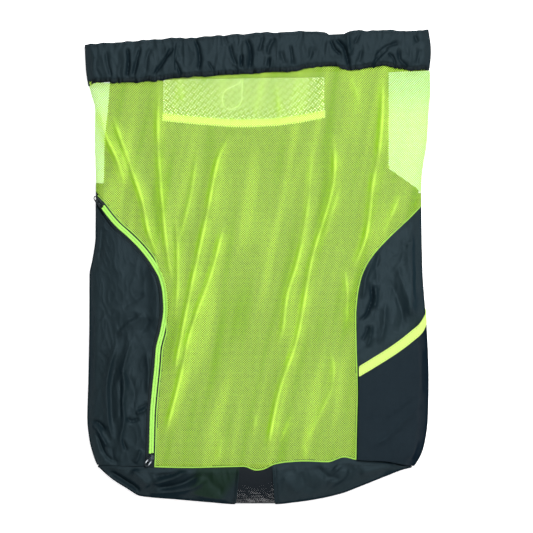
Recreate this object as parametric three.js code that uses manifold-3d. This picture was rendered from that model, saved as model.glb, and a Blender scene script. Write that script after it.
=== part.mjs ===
// An empty mesh bag lying on its back: a gathered mouth band, a see-through front, nylon sides
// with a curved zip and a bottle pocket, and a folded base with a drain panel.
// Millimetres. +X runs to the right seen from the front, +Y from base to mouth, +Z up.
import * as THREE from "three";
import { mergeVertices } from "three/addons/utils/BufferGeometryUtils.js";
import Module from "manifold-3d";

const wasm = await Module();
wasm.setup();

// Driving sizes.
const NYLON_WALL = 1.4;
const MESH_WALL = 1.2;
const BAND_WALL = 2.2;
const SEAM_GAP = 1.0;
const EDGE_HEIGHT = 8;
const EDGE_DEPTH = 12;
const FULLNESS = 0.6;
const BACK_FOOT = -238;
const COIL_WIDTH = 6;
const COIL_HEIGHT = 1.8;
const TAPE_OUTER = 6.5;
const TAPE_INNER = 4;
const TAPE_TIP = 0.6;
const BINDING_WIDTH = 9;
const BINDING_WALL = 1.4;
const LOOP_RADIUS = 1;
const GATHER_PITCH = 30;
const GATHER_DEPTH = 2.6;
const LAYER_GAP = 0.4;
const EDGE_GAP = 2;
const EDGE_CLOSING = 1.8;

// The bag's outline by height, and how far its front stands above the floor.
const OUTLINE = [
  { y: -250, left: -184, right: 178, rise: 27 },
  { y: -236, left: -193, right: 190.5, rise: 30 },
  { y: -222, left: -198, right: 198, rise: 32 },
  { y: -207, left: -201.6, right: 201.8, rise: 33 },
  { y: -183, left: -204, right: 204.8, rise: 34 },
  { y: -135, left: -202.8, right: 205.8, rise: 35 },
  { y: -63, left: -201.6, right: 203, rise: 35 },
  { y: -9, left: -201.4, right: 199.2, rise: 33 },
  { y: 9, left: -198, right: 198.6, rise: 32 },
  { y: 37, left: -194.2, right: 198, rise: 31 },
  { y: 80, left: -194, right: 197.6, rise: 29 },
  { y: 110, left: -194, right: 198.6, rise: 27 },
  { y: 152, left: -195, right: 204.6, rise: 25 },
  { y: 188, left: -194.5, right: 206.6, rise: 24 },
  { y: 210, left: -200, right: 208.6, rise: 23 },
  { y: 240, left: -206, right: 208, rise: 22 },
  { y: 286, left: -208, right: 207, rise: 20 },
];

// The line of the zip's coil, from the top slider down to the base seam.
const ZIP_LINE = [
  { y: -240, x: -127.2 },
  { y: -222, x: -126.7 },
  { y: -175, x: -126 },
  { y: -154, x: -125.2 },
  { y: -118, x: -121.4 },
  { y: -98, x: -119.4 },
  { y: -74, x: -114.4 },
  { y: -50, x: -111 },
  { y: -31, x: -111.8 },
  { y: -13, x: -115.4 },
  { y: 3, x: -123.6 },
  { y: 21.6, x: -136.8 },
  { y: 36, x: -151.2 },
  { y: 52, x: -168 },
  { y: 74, x: -185.6 },
  { y: 80, x: -189.8 },
];
const ZIP_TOP = 80;
const COIL_ENDS = { foot: -222, head: 70 };

// The seam between the mesh front and the right side.
const RIGHT_SEAM = [
  { y: -234, x: 119 },
  { y: -200, x: 120 },
  { y: -146, x: 121 },
  { y: -94, x: 120.4 },
  { y: -58, x: 119.6 },
  { y: -35, x: 120.8 },
  { y: -14, x: 124.8 },
  { y: 0.6, x: 130.8 },
  { y: 14.4, x: 139.8 },
  { y: 30, x: 153.6 },
  { y: 45, x: 169.2 },
  { y: 59, x: 184.2 },
  { y: 71, x: 195.6 },
];

// Where the base is sewn to the front, and the fold that the base lies on.
const BASE_SEAM = [
  { x: -195, y: -237.6 },
  { x: -160, y: -238.8 },
  { x: -80, y: -241.6 },
  { x: -38, y: -240.8 },
  { x: -16, y: -241.6 },
  { x: 0, y: -246 },
  { x: 8, y: -244.6 },
  { x: 20, y: -238 },
  { x: 34, y: -235.2 },
  { x: 84, y: -234.4 },
  { x: 103, y: -229 },
  { x: 119, y: -232.6 },
  { x: 152, y: -233 },
  { x: 182, y: -238.4 },
  { x: 192, y: -239.6 },
];
const BASE_FOLD = [
  { x: -192, y: -239 },
  { x: -183.6, y: -247.2 },
  { x: -170, y: -258 },
  { x: -158, y: -265.4 },
  { x: -140, y: -275.6 },
  { x: -95, y: -279.8 },
  { x: -56, y: -283.2 },
  { x: -26, y: -285.4 },
  { x: 22, y: -285.4 },
  { x: 45, y: -283.2 },
  { x: 70, y: -279.6 },
  { x: 102, y: -272.4 },
  { x: 121, y: -265.2 },
  { x: 157, y: -250.8 },
  { x: 174, y: -244.2 },
  { x: 188, y: -240.4 },
];
const BASE_ENDS = { left: -187, right: 178 };
const DRAIN = { topLeft: -20.4, topRight: 18, footLeft: -26, footRight: 21.6 };
const FOLD_HEIGHT = 7;

// The two edges of the mouth band on the front. On the back they run straight between their ends.
const BAND_FOOT = [
  { x: -206, y: 222 },
  { x: -160, y: 222 },
  { x: -126, y: 223.6 },
  { x: -100, y: 227 },
  { x: -60, y: 230 },
  { x: -5, y: 234.4 },
  { x: 36, y: 235 },
  { x: 74, y: 240.4 },
  { x: 92, y: 240.6 },
  { x: 114, y: 236.4 },
  { x: 152, y: 240.4 },
  { x: 184, y: 235.4 },
  { x: 208, y: 236.4 },
];
const BAND_HEAD = [
  { x: -208, y: 267 },
  { x: -164, y: 269.4 },
  { x: -114, y: 273.6 },
  { x: -80, y: 275 },
  { x: -19, y: 279 },
  { x: 16, y: 281 },
  { x: 70, y: 282.8 },
  { x: 97, y: 277 },
  { x: 118, y: 283.4 },
  { x: 156, y: 283.8 },
  { x: 180, y: 282.6 },
  { x: 207, y: 285.6 },
];

// The bottle pocket's bound edge, from the front seam to the bag's right edge.
const POCKET_LINE = [
  { x: 121.5, y: -126 },
  { x: 138, y: -116.2 },
  { x: 164.4, y: -99.6 },
  { x: 182.4, y: -86.3 },
  { x: 194, y: -75.6 },
  { x: 202, y: -63.4 },
];
const POCKET_END_HEIGHT = -52;

// The cut-out at the top of the back and the bound edge below it.
const WINDOW = { left: -112.8, right: 81, headLeft: 220.5, headRight: 226.5 };
const WINDOW_LINE = [
  { x: -114, y: 180.4 },
  { x: -68, y: 175.8 },
  { x: -20, y: 172.8 },
  { x: 18, y: 174 },
  { x: 41, y: 176.6 },
  { x: 64, y: 180.4 },
  { x: 83, y: 184.4 },
];
const CORNER_LEFT_FOOT = 103;
const CORNER_RIGHT = { x: 156, foot: 118.8, edgeFoot: 91 };
const SIDE_HEADS = { left: 101, right: 89 };

const LOOP_PATH = [
  { x: -17.5, y: 240, z: 3.9 },
  { x: -17.8, y: 229, z: 3.4 },
  { x: -18.6, y: 206, z: 3 },
  { x: -21.6, y: 195.6, z: 3 },
  { x: -30.6, y: 189, z: 3 },
  { x: -39.6, y: 193.2, z: 3 },
  { x: -42, y: 201.6, z: 3 },
  { x: -38.4, y: 208.8, z: 3 },
  { x: -30, y: 214.8, z: 3 },
  { x: -23.4, y: 222, z: 3.1 },
  { x: -21.8, y: 230, z: 3.4 },
  { x: -21.4, y: 240, z: 3.9 },
];

// Main folds of the mesh front, each from its upper end down.
const FOLDS = [
  { height: 8, width: 9, path: [[-194, 200], [-182.4, 162], [-166.8, 128.4], [-156, 90]] },
  { height: 6, width: 8, path: [[-174, 186], [-153, 126], [-136.8, 79.2], [-129.6, 44.4], [-114, 2]] },
  { height: 5, width: 8, path: [[-121.2, 222], [-120, 164.4], [-115.2, 110.4], [-106.8, 19.2], [-100, -22]] },
  { height: 4, width: 8, path: [[-98.4, 66], [-94.1, 19.2], [-94.1, -19.2], [-98.4, -76]] },
  { height: 6, width: 8, path: [[-31.2, 160], [-45.6, 129.6], [-58.8, 64.8], [-83.3, -50.4], [-99.6, -135]] },
  { height: 6, width: 8, path: [[-37.2, 57.6], [-52.8, -3.6], [-80.4, -82.8], [-91.2, -133], [-110, -205]] },
  { height: 6, width: 8, path: [[91.2, 164], [93.6, 122.4], [64.8, 3.6], [48.6, -84], [26.4, -151], [12, -225]] },
  { height: 5, width: 8, path: [[61.2, 57.6], [46.8, -1.2], [36, -36], [31.2, -75.6], [21.6, -100]] },
  { height: 6, width: 9, path: [[140.4, 228], [147.6, 129.6], [139.8, 103.2], [132, 42], [114, -8]] },
  { height: 4, width: 8, path: [[104.4, 5], [108, -31], [106.8, -79]] },
];
const FOLD_RUNOUT = 34;

const COLOURS = {
  nylon: 0x2f393f,
  pocket: 0x252c32,
  mesh: 0xb2de52,
  pale: 0xdff6b4,
  lime: 0xd6fb78,
  coil: 0xc2f98e,
  net: 0x2a3036,
  cord: 0xe4f2b4,
  metal: 0x6b7478,
};

const clamp = THREE.MathUtils.clamp;
const mix = THREE.MathUtils.lerp;

// A smooth curve through rows of [at, value] in rising order, with no overshoot between them.
function curveThrough(rows) {
  const rise = [];
  for (let i = 0; i + 1 < rows.length; i += 1) {
    rise.push((rows[i + 1][1] - rows[i][1]) / (rows[i + 1][0] - rows[i][0]));
  }
  const slope = rows.map((row, i) => {
    if (i === 0) return rise[0];
    if (i === rise.length) return rise[i - 1];
    return rise[i - 1] * rise[i] <= 0 ? 0 : 2 / (1 / rise[i - 1] + 1 / rise[i]);
  });
  return (at) => {
    const last = rows.length - 2;
    let i = 0;
    while (i < last && at > rows[i + 1][0]) i += 1;
    const span = rows[i + 1][0] - rows[i][0];
    const t = clamp((at - rows[i][0]) / span, 0, 1);
    const start = rows[i][1] * (1 + 2 * t) + slope[i] * span * t;
    const end = rows[i + 1][1] * (3 - 2 * t) - slope[i + 1] * span * (1 - t);
    return start * (1 - t) * (1 - t) + end * t * t;
  };
}

const byHeight = (table, column) => curveThrough(table.map((row) => [row.y, row[column]]));
const byX = (table) => curveThrough(table.map((row) => [row.x, row.y]));

const leftEdge = byHeight(OUTLINE, "left");
const rightEdge = byHeight(OUTLINE, "right");
const frontRise = byHeight(OUTLINE, "rise");
const zipX = byHeight(ZIP_LINE, "x");
const rightSeamX = byHeight(RIGHT_SEAM, "x");
const baseSeam = byX(BASE_SEAM);
const baseFold = byX(BASE_FOLD);
const bandFootFront = byX(BAND_FOOT);
const bandHeadFront = byX(BAND_HEAD);
const windowLine = byX(WINDOW_LINE);
const folds = FOLDS.map(({ height, width, path }) => ({
  height,
  width,
  foot: path[path.length - 1][1],
  head: path[0][1],
  lineAt: curveThrough(path.map(([x, y]) => [y, x]).reverse()),
}));

// The height that the folds add at a place on the front.
function foldLift(x, y) {
  let lift = 0;
  for (const fold of folds) {
    if (y < fold.foot || y > fold.head) continue;
    const runIn = THREE.MathUtils.smoothstep(y, fold.foot, fold.foot + FOLD_RUNOUT);
    const runOut = 1 - THREE.MathUtils.smoothstep(y, fold.head - FOLD_RUNOUT, fold.head);
    const away = (x - fold.lineAt(y)) / fold.width;
    lift = Math.max(lift, fold.height * runIn * runOut * Math.exp(-away * away));
  }
  return lift;
}

// Half of the bag's section at a height, as points from the middle of the front, round the edge
// and back to the middle of the underside, with the length along it at each.
const FRONT_STEPS = 30;
const EDGE_STEPS = 8;
function halfSection(y, side) {
  const middle = (leftEdge(y) + rightEdge(y)) / 2;
  const half = (rightEdge(y) - leftEdge(y)) / 2;
  const points = [];
  for (let k = 0; k <= FRONT_STEPS; k += 1) {
    const angle = (k / FRONT_STEPS) * (Math.PI / 2);
    const crown = Math.pow(Math.max(Math.cos(angle), 0), FULLNESS);
    const z = EDGE_HEIGHT + (frontRise(y) - EDGE_HEIGHT) * crown;
    points.push({ x: middle + side * half * Math.sin(angle), z });
  }
  for (let k = 1; k <= EDGE_STEPS; k += 1) {
    const angle = (1 - k / EDGE_STEPS) * (Math.PI / 2);
    const inset = EDGE_DEPTH * (1 - Math.sin(angle));
    points.push({ x: middle + side * (half - inset), z: EDGE_HEIGHT * (1 - Math.cos(angle)) });
  }
  points.push({ x: middle, z: 0 });
  let length = 0;
  points.forEach((point, k) => {
    if (k > 0) length += Math.hypot(point.x - points[k - 1].x, point.z - points[k - 1].z);
    point.length = length;
  });
  return points;
}

// The point at a girth, which is the length along the section, positive to the right.
function bodyPoint(girth, y) {
  const points = halfSection(y, girth < 0 ? -1 : 1);
  const length = clamp(Math.abs(girth), 0, points[points.length - 1].length);
  let k = 1;
  while (k < points.length - 1 && length > points[k].length) k += 1;
  const t = (length - points[k - 1].length) / (points[k].length - points[k - 1].length);
  const x = mix(points[k - 1].x, points[k].x, t);
  const lift = k <= FRONT_STEPS ? foldLift(x, y) : 0;
  return new THREE.Vector3(x, y, mix(points[k - 1].z, points[k].z, t) + lift);
}

// The girth of a place on the front.
function frontGirth(x, y) {
  const side = x < (leftEdge(y) + rightEdge(y)) / 2 ? -1 : 1;
  const points = halfSection(y, side);
  let k = 1;
  while (k < FRONT_STEPS && side * x > side * points[k].x) k += 1;
  const t = clamp((x - points[k - 1].x) / (points[k].x - points[k - 1].x), 0, 1);
  return side * mix(points[k - 1].length, points[k].length, t);
}

// The girth part of the way round the bag's edge, from the front at 0 to the back seam at 1.
function edgeGirth(y, side, turn) {
  const points = halfSection(y, side);
  const at = FRONT_STEPS + turn * EDGE_STEPS;
  const k = Math.min(Math.floor(at), FRONT_STEPS + EDGE_STEPS - 1);
  return side * mix(points[k].length, points[k + 1].length, at - k);
}

// The girth of a place on the flat underside.
function backGirth(x, y, side) {
  const points = halfSection(y, side);
  const seam = points[FRONT_STEPS + EDGE_STEPS];
  return side * (seam.length + Math.abs(seam.x - x));
}

// How much wider a slanted seam is cut across than square to it.
function slant(line, y) {
  const step = 2;
  return Math.hypot(1, (line(y + step) - line(y - step)) / (2 * step));
}

// Seams as girth by height. Past the zip's top and the right seam's top they run out at the edge.
const MESH_TURN = 0.45;
const zipGirth = (y, offset) => {
  const beyond = Math.max(y - ZIP_TOP, 0);
  const at = Math.min(y, ZIP_TOP);
  return frontGirth(zipX(at), at) - beyond * 1.1 + offset * slant(zipX, at);
};
const meshLeft = (y) => Math.max(zipGirth(y, TAPE_INNER + SEAM_GAP), edgeGirth(y, -1, MESH_TURN));
const sideLeft = (y) => {
  const edge = edgeGirth(y, -1, MESH_TURN) - EDGE_GAP;
  return Math.max(zipGirth(y, -TAPE_OUTER - SEAM_GAP), edge);
};
const RIGHT_TOP = 71;
const rightGirth = (y, offset) => {
  const beyond = Math.max(y - RIGHT_TOP, 0);
  const at = Math.min(y, RIGHT_TOP);
  return frontGirth(rightSeamX(at), at) + beyond * 1.1 + offset * slant(rightSeamX, at);
};
const rightGap = (y) => mix(SEAM_GAP / 2, EDGE_GAP, THREE.MathUtils.smoothstep(y, 45, RIGHT_TOP));
const meshRight = (y) => Math.min(rightGirth(y, -rightGap(y)), edgeGirth(y, 1, MESH_TURN));
const sideRight = (y) => Math.min(rightGirth(y, rightGap(y)), edgeGirth(y, 1, MESH_TURN) + EDGE_GAP);

const bandBack = (edge) => {
  const first = edge[0];
  const last = edge[edge.length - 1];
  return (x) => mix(first.y, last.y, (x - first.x) / (last.x - first.x));
};
const bandFootBack = bandBack(BAND_FOOT);
const bandHeadBack = bandBack(BAND_HEAD);

// Height by girth along the band's edges, on the front and on the back.
function bandEdge(front, back) {
  return (girth) => {
    const guess = back(0);
    const onFront = Math.abs(girth) <= Math.abs(edgeGirth(guess, Math.sign(girth) || 1, 0));
    return (onFront ? front : back)(bodyPoint(girth, guess).x);
  };
}
const bandFoot = bandEdge(bandFootFront, bandFootBack);
const bandHead = bandEdge(bandHeadFront, bandHeadBack);
const bodyFoot = (girth) => baseSeam(bodyPoint(girth, BACK_FOOT).x) + SEAM_GAP / 2;

// A closed cloth wall over a grid of places, facing out on the side where the grid reads right to up.
function cloth({ columns, rows, place, wall, lift = 0, ring = false }) {
  const width = ring ? columns : columns + 1;
  const grid = [];
  for (let i = 0; i <= rows; i += 1) {
    for (let j = 0; j < width; j += 1) grid.push(place(j / columns, i / rows));
  }
  const index = (i, j) => clamp(i, 0, rows) * width + (ring ? (j + columns) % columns : clamp(j, 0, columns));
  const outer = [];
  const inner = [];
  for (let i = 0; i <= rows; i += 1) {
    for (let j = 0; j < width; j += 1) {
      const across = grid[index(i, j + 1)].clone().sub(grid[index(i, j - 1)]);
      const up = grid[index(i + 1, j)].clone().sub(grid[index(i - 1, j)]);
      const normal = across.cross(up).normalize();
      const point = grid[index(i, j)];
      outer.push(...point.clone().addScaledVector(normal, lift).toArray());
      inner.push(...point.clone().addScaledVector(normal, lift - wall).toArray());
    }
  }
  const inside = grid.length;
  const faces = [];
  const quad = (a, b, c, d) => faces.push(a, b, c, a, c, d);
  for (let i = 0; i < rows; i += 1) {
    for (let j = 0; j < columns; j += 1) {
      const [a, b, c, d] = [index(i, j), index(i, j + 1), index(i + 1, j + 1), index(i + 1, j)];
      quad(a, b, c, d);
      quad(inside + d, inside + c, inside + b, inside + a);
    }
  }
  for (let j = 0; j < columns; j += 1) {
    const [a, b] = [index(0, j), index(0, j + 1)];
    const [c, d] = [index(rows, j), index(rows, j + 1)];
    quad(inside + a, inside + b, b, a);
    quad(c, d, inside + d, inside + c);
  }
  for (let i = 0; i < rows && !ring; i += 1) {
    const [a, b] = [index(i, 0), index(i + 1, 0)];
    const [c, d] = [index(i, columns), index(i + 1, columns)];
    quad(inside + a, a, b, inside + b);
    quad(c, inside + c, inside + d, d);
  }
  const geometry = new THREE.BufferGeometry();
  geometry.setAttribute("position", new THREE.Float32BufferAttribute([...outer, ...inner], 3));
  geometry.setIndex(faces);
  return geometry;
}

// Places on a panel between two side seams, girth by height, and two end seams, height by girth.
function panel({ left, right, foot, head, spread = (u) => u }) {
  const seamPoint = (seam, v) => {
    let y = mix(foot(0), head(0), v);
    for (let pass = 0; pass < 8; pass += 1) y = mix(foot(seam(y)), head(seam(y)), v);
    return seam(y);
  };
  return (u, v) => {
    const girth = mix(seamPoint(left, v), seamPoint(right, v), spread(u));
    return bodyPoint(girth, mix(foot(girth), head(girth), v));
  };
}

// Column spacings that close up towards the bag's rounded edges.
const closeLeft = (u) => Math.pow(u, EDGE_CLOSING);
const closeRight = (u) => 1 - Math.pow(1 - u, EDGE_CLOSING);
const closeBoth = (u) => mix(u, 0.5 - 0.5 * Math.cos(Math.PI * u), 0.5);

const bag = new THREE.Group();

function piece(name, geometry, colour, { roughness = 0.75, metalness = 0 } = {}) {
  geometry.computeVertexNormals();
  const material = new THREE.MeshStandardMaterial({ color: COLOURS[colour], roughness, metalness });
  const mesh = new THREE.Mesh(geometry, material);
  mesh.name = name;
  return mesh;
}

function merged(geometry) {
  geometry.deleteAttribute("uv");
  geometry.deleteAttribute("normal");
  return mergeVertices(geometry, 1e-3);
}

// A flat plate from an outline in plan.
function plate(outline, bottom, thickness, holes = []) {
  const shape = new THREE.Shape(outline);
  holes.forEach((hole) => shape.holes.push(new THREE.Path(hole)));
  const geometry = new THREE.ExtrudeGeometry(shape, { depth: thickness, bevelEnabled: false });
  geometry.translate(0, 0, bottom);
  return merged(geometry);
}

// Front mesh, between the band, the two sides and the base.
const frontMesh = cloth({
  columns: 38,
  rows: 24,
  wall: MESH_WALL,
  place: panel({
    spread: closeBoth,
    left: meshLeft,
    right: meshRight,
    foot: bodyFoot,
    head: (girth) => bandFoot(girth) - SEAM_GAP,
  }),
});
bag.add(piece("front_mesh", frontMesh, "mesh"));

// Mouth band: a ring whose gathers swell outwards on the front and upwards on the back.
const BAND_FRONT = 56;
const BAND_BACK = 16;
const BAND_EDGE = 5;
function bandStations() {
  const level = bandFootBack(0);
  const edge = (side) => edgeGirth(level, side, 0);
  const seam = (side) => edgeGirth(level, side, 1);
  const reach = (side) => backGirth(0, level, side);
  const stations = [];
  for (let k = 0; k < BAND_BACK / 2; k += 1) stations.push(mix(reach(-1), seam(-1), k / (BAND_BACK / 2)));
  for (let k = 0; k < BAND_EDGE; k += 1) stations.push(mix(seam(-1), edge(-1), k / BAND_EDGE));
  for (let k = 0; k < BAND_FRONT; k += 1) stations.push(mix(edge(-1), edge(1), k / BAND_FRONT));
  for (let k = 0; k < BAND_EDGE; k += 1) stations.push(mix(edge(1), seam(1), k / BAND_EDGE));
  for (let k = 0; k < BAND_BACK / 2; k += 1) stations.push(mix(seam(1), reach(1), k / (BAND_BACK / 2)));
  return stations;
}
const stations = bandStations();
const bandPlace = (u, v) => {
  const girth = stations[Math.round(u * stations.length) % stations.length];
  const point = bodyPoint(girth, mix(bandFoot(girth), bandHead(girth), v));
  const phase = girth / GATHER_PITCH + 0.35 * Math.sin(girth / 47);
  const swell = 0.5 + 0.5 * Math.sin(2 * Math.PI * phase + 1.5 * v);
  const hold = 0.35 + 0.65 * Math.sin(Math.PI * clamp(v * 0.8 + 0.1, 0, 1));
  if (point.z > EDGE_HEIGHT) point.z += GATHER_DEPTH * swell * hold;
  return point;
};
const band = cloth({ columns: stations.length, rows: 4, wall: BAND_WALL, place: bandPlace, ring: true });
bag.add(piece("mouth_band", band, "nylon"));

// Sides, from the back seam round the edge to the front.
const leftSide = cloth({
  columns: 12,
  rows: 17,
  wall: NYLON_WALL,
  place: panel({
    spread: closeLeft,
    left: (y) => edgeGirth(y, -1, 1),
    right: sideLeft,
    foot: bodyFoot,
    head: () => SIDE_HEADS.left,
  }),
});
bag.add(piece("side_panel_left", leftSide, "nylon"));
const rightSide = cloth({
  columns: 12,
  rows: 17,
  wall: NYLON_WALL,
  place: panel({
    spread: closeRight,
    left: sideRight,
    right: (y) => edgeGirth(y, 1, 1),
    foot: bodyFoot,
    head: () => SIDE_HEADS.right,
  }),
});
bag.add(piece("side_panel_right", rightSide, "nylon"));

// Upper corner panels, from the edge of the mesh front onto the back.
const cornerLeft = cloth({
  columns: 6,
  rows: 6,
  wall: MESH_WALL,
  place: panel({
    left: (y) => edgeGirth(y, -1, 1),
    right: (y) => edgeGirth(y, -1, MESH_TURN) - EDGE_GAP,
    foot: () => CORNER_LEFT_FOOT,
    head: (girth) => bandFoot(girth) - SEAM_GAP,
  }),
});
bag.add(piece("corner_panel_left", cornerLeft, "pale"));
const cornerRightFoot = (girth) => {
  const edge = edgeGirth(CORNER_RIGHT.foot, 1, MESH_TURN);
  const inner = backGirth(CORNER_RIGHT.x, CORNER_RIGHT.foot, 1);
  return mix(CORNER_RIGHT.edgeFoot, CORNER_RIGHT.foot, clamp((girth - edge) / (inner - edge), 0, 1));
};
const cornerRight = cloth({
  columns: 10,
  rows: 6,
  wall: MESH_WALL,
  place: panel({
    left: (y) => edgeGirth(y, 1, MESH_TURN) + EDGE_GAP,
    right: (y) => backGirth(CORNER_RIGHT.x, y, 1),
    foot: cornerRightFoot,
    head: (girth) => bandFoot(girth) - SEAM_GAP,
  }),
});
bag.add(piece("corner_panel_right", cornerRight, "pale"));

// Back panel: a flat plate with the window cut out of it.
function backOutline() {
  const inset = EDGE_DEPTH + EDGE_GAP;
  const foot = BACK_FOOT + SEAM_GAP;
  const outline = [];
  const corner = CORNER_RIGHT.x - SEAM_GAP;
  const seamEnd = { x: 177, y: 101 };
  const levels = [foot, -222, -207, -183, -135, -63, -9, 9, 37, 84];
  levels.forEach((y) => outline.push(new THREE.Vector2(rightEdge(y) - inset, y)));
  outline.push(new THREE.Vector2(seamEnd.x, seamEnd.y));
  outline.push(new THREE.Vector2(corner, CORNER_RIGHT.foot - 3));
  [corner, 50, -50, -150].forEach((x) => outline.push(new THREE.Vector2(x, bandFootBack(x) - SEAM_GAP)));
  const leftHead = leftEdge(220) + inset;
  outline.push(new THREE.Vector2(leftHead, bandFootBack(leftHead) - SEAM_GAP));
  [188, 152, 110, ...levels.slice().reverse()].forEach((y) => {
    outline.push(new THREE.Vector2(leftEdge(y) + inset, y));
  });
  return outline;
}
function windowOutline(inset) {
  const outline = [];
  const steps = 12;
  for (let k = 0; k <= steps; k += 1) {
    const x = mix(WINDOW.left + inset, WINDOW.right - inset, k / steps);
    outline.push(new THREE.Vector2(x, windowLine(x) + inset));
  }
  outline.push(new THREE.Vector2(WINDOW.right - inset, WINDOW.headRight - inset));
  outline.push(new THREE.Vector2(WINDOW.left + inset, WINDOW.headLeft - inset));
  return outline;
}
bag.add(piece("back_panel", plate(backOutline(), 0, NYLON_WALL, [windowOutline(0).reverse()]), "nylon"));
bag.add(piece("window_mesh", plate(windowOutline(0.5), 0.1, MESH_WALL), "mesh"));

// Bound edge under the window, on the inside of the back.
function ribbonOutline(line, from, to, width, steps) {
  const lower = [];
  const upper = [];
  for (let k = 0; k <= steps; k += 1) {
    const x = mix(from, to, k / steps);
    lower.push(new THREE.Vector2(x, line(x) - width / 2));
    upper.unshift(new THREE.Vector2(x, line(x) + width / 2));
  }
  return [...lower, ...upper];
}
const windowRibbon = ribbonOutline(windowLine, WINDOW.left, WINDOW.right, BINDING_WIDTH, 14);
const windowBinding = plate(windowRibbon, NYLON_WALL + LAYER_GAP, BINDING_WALL - 0.4);
bag.add(piece("window_binding", windowBinding, "lime"));

// Bottle pocket over the right side, and its bound edge.
const pocketRows = POCKET_LINE.map(({ x, y }) => [frontGirth(x, y), y]);
pocketRows.push([edgeGirth(POCKET_END_HEIGHT, 1, 0.45), POCKET_END_HEIGHT]);
const pocketLine = curveThrough(pocketRows);
const pocketLift = NYLON_WALL + 3 * LAYER_GAP;
const pocket = cloth({
  columns: 12,
  rows: 9,
  wall: NYLON_WALL,
  lift: pocketLift,
  place: panel({
    spread: closeRight,
    left: (y) => rightGirth(y, 2),
    right: (y) => edgeGirth(y, 1, 0.4),
    foot: (girth) => bodyFoot(girth) + SEAM_GAP,
    head: (girth) => pocketLine(girth) - 0.75 * BINDING_WIDTH - SEAM_GAP,
  }),
});
bag.add(piece("bottle_pocket", pocket, "pocket"));
const pocketEnd = pocketRows[pocketRows.length - 1][0];
const pocketBinding = cloth({
  columns: 16,
  rows: 2,
  wall: BINDING_WALL,
  lift: pocketLift,
  place: (u, v) => {
    const girth = mix(pocketRows[0][0], pocketEnd, closeRight(u));
    const run = (pocketLine(girth + 1) - pocketLine(girth - 1)) / 2;
    return bodyPoint(girth, pocketLine(girth) + (v - 0.5) * BINDING_WIDTH * Math.hypot(1, run));
  },
});
bag.add(piece("pocket_binding", pocketBinding, "lime"));

// Zip: a tape set in the surface and a coil on top of it.
const zipTape = cloth({
  columns: 2,
  rows: 34,
  wall: NYLON_WALL,
  place: (u, v) => {
    const y = mix(baseSeam(zipX(BACK_FOOT)) + SEAM_GAP / 2, ZIP_TOP + 3, v);
    const narrowing = mix(1, TAPE_TIP, THREE.MathUtils.smoothstep(y, 40, ZIP_TOP));
    return bodyPoint(zipGirth(y, narrowing * mix(-TAPE_OUTER, TAPE_INNER, u)), y);
  },
});
bag.add(piece("zip_tape", zipTape, "nylon"));
const zipCoil = cloth({
  columns: 2,
  rows: 34,
  wall: COIL_HEIGHT,
  lift: COIL_HEIGHT + LAYER_GAP,
  place: (u, v) => {
    const y = mix(COIL_ENDS.foot, COIL_ENDS.head, v);
    return bodyPoint(zipGirth(y, mix(-COIL_WIDTH / 2, COIL_WIDTH / 2, u)), y);
  },
});
bag.add(piece("zip_coil", zipCoil, "coil"));

// Base: from the front seam down to the fold and back along the floor.
const FOLD_ROWS = { front: 6, turn: 3, back: 2 };
function basePoint(x, v) {
  const rows = FOLD_ROWS.front + FOLD_ROWS.turn + FOLD_ROWS.back;
  const at = v * rows;
  const seam = baseSeam(x) - SEAM_GAP / 2;
  const fold = Math.min(baseFold(x), seam - 3);
  const top = bodyPoint(frontGirth(x, seam), seam).z;
  const turnDepth = Math.min(9, 0.45 * (seam - fold));
  if (at <= FOLD_ROWS.front) {
    const angle = (1 - at / FOLD_ROWS.front) * (Math.PI / 2);
    const y = mix(seam, fold, Math.cos(angle));
    return new THREE.Vector3(x, y, mix(FOLD_HEIGHT, top, Math.sin(angle)));
  }
  if (at <= FOLD_ROWS.front + FOLD_ROWS.turn) {
    const angle = ((at - FOLD_ROWS.front) / FOLD_ROWS.turn) * (Math.PI / 2);
    return new THREE.Vector3(x, fold + turnDepth * (1 - Math.cos(angle)), FOLD_HEIGHT * (1 - Math.sin(angle)));
  }
  const t = (at - FOLD_ROWS.front - FOLD_ROWS.turn) / FOLD_ROWS.back;
  return new THREE.Vector3(x, mix(fold + turnDepth, Math.min(BACK_FOOT, seam) - SEAM_GAP / 2, t), 0);
}
function basePiece(columns, left, right, wall) {
  const rows = FOLD_ROWS.front + FOLD_ROWS.turn + FOLD_ROWS.back;
  const place = (u, v) => basePoint(mix(left(v), right(v), 1 - u), v);
  return cloth({ columns, rows, wall, place });
}
const drainLeft = (v) => mix(DRAIN.topLeft, DRAIN.footLeft, clamp(v * 2, 0, 1));
const drainRight = (v) => mix(DRAIN.topRight, DRAIN.footRight, clamp(v * 2, 0, 1));
const halfGap = SEAM_GAP / 2;
const baseLeft = basePiece(12, () => BASE_ENDS.left, (v) => drainLeft(v) - halfGap, NYLON_WALL);
const baseRight = basePiece(12, (v) => drainRight(v) + halfGap, () => BASE_ENDS.right, NYLON_WALL);
const drain = basePiece(5, (v) => drainLeft(v) + halfGap, (v) => drainRight(v) - halfGap, MESH_WALL);
bag.add(piece("base_left", baseLeft, "nylon"));
bag.add(piece("base_right", baseRight, "nylon"));
bag.add(piece("drain_panel", drain, "net"));

// Hanging loop, inside the mouth at the back.
const loopPath = new THREE.CatmullRomCurve3(LOOP_PATH.map(({ x, y, z }) => new THREE.Vector3(x, y, z)));
const cordSection = new THREE.Shape();
cordSection.absarc(0, 0, LOOP_RADIUS, 0, 2 * Math.PI);
const loop = new THREE.ExtrudeGeometry(cordSection, { steps: 24, curveSegments: 4, extrudePath: loopPath });
bag.add(piece("hanging_loop", merged(loop), "cord"));

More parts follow.
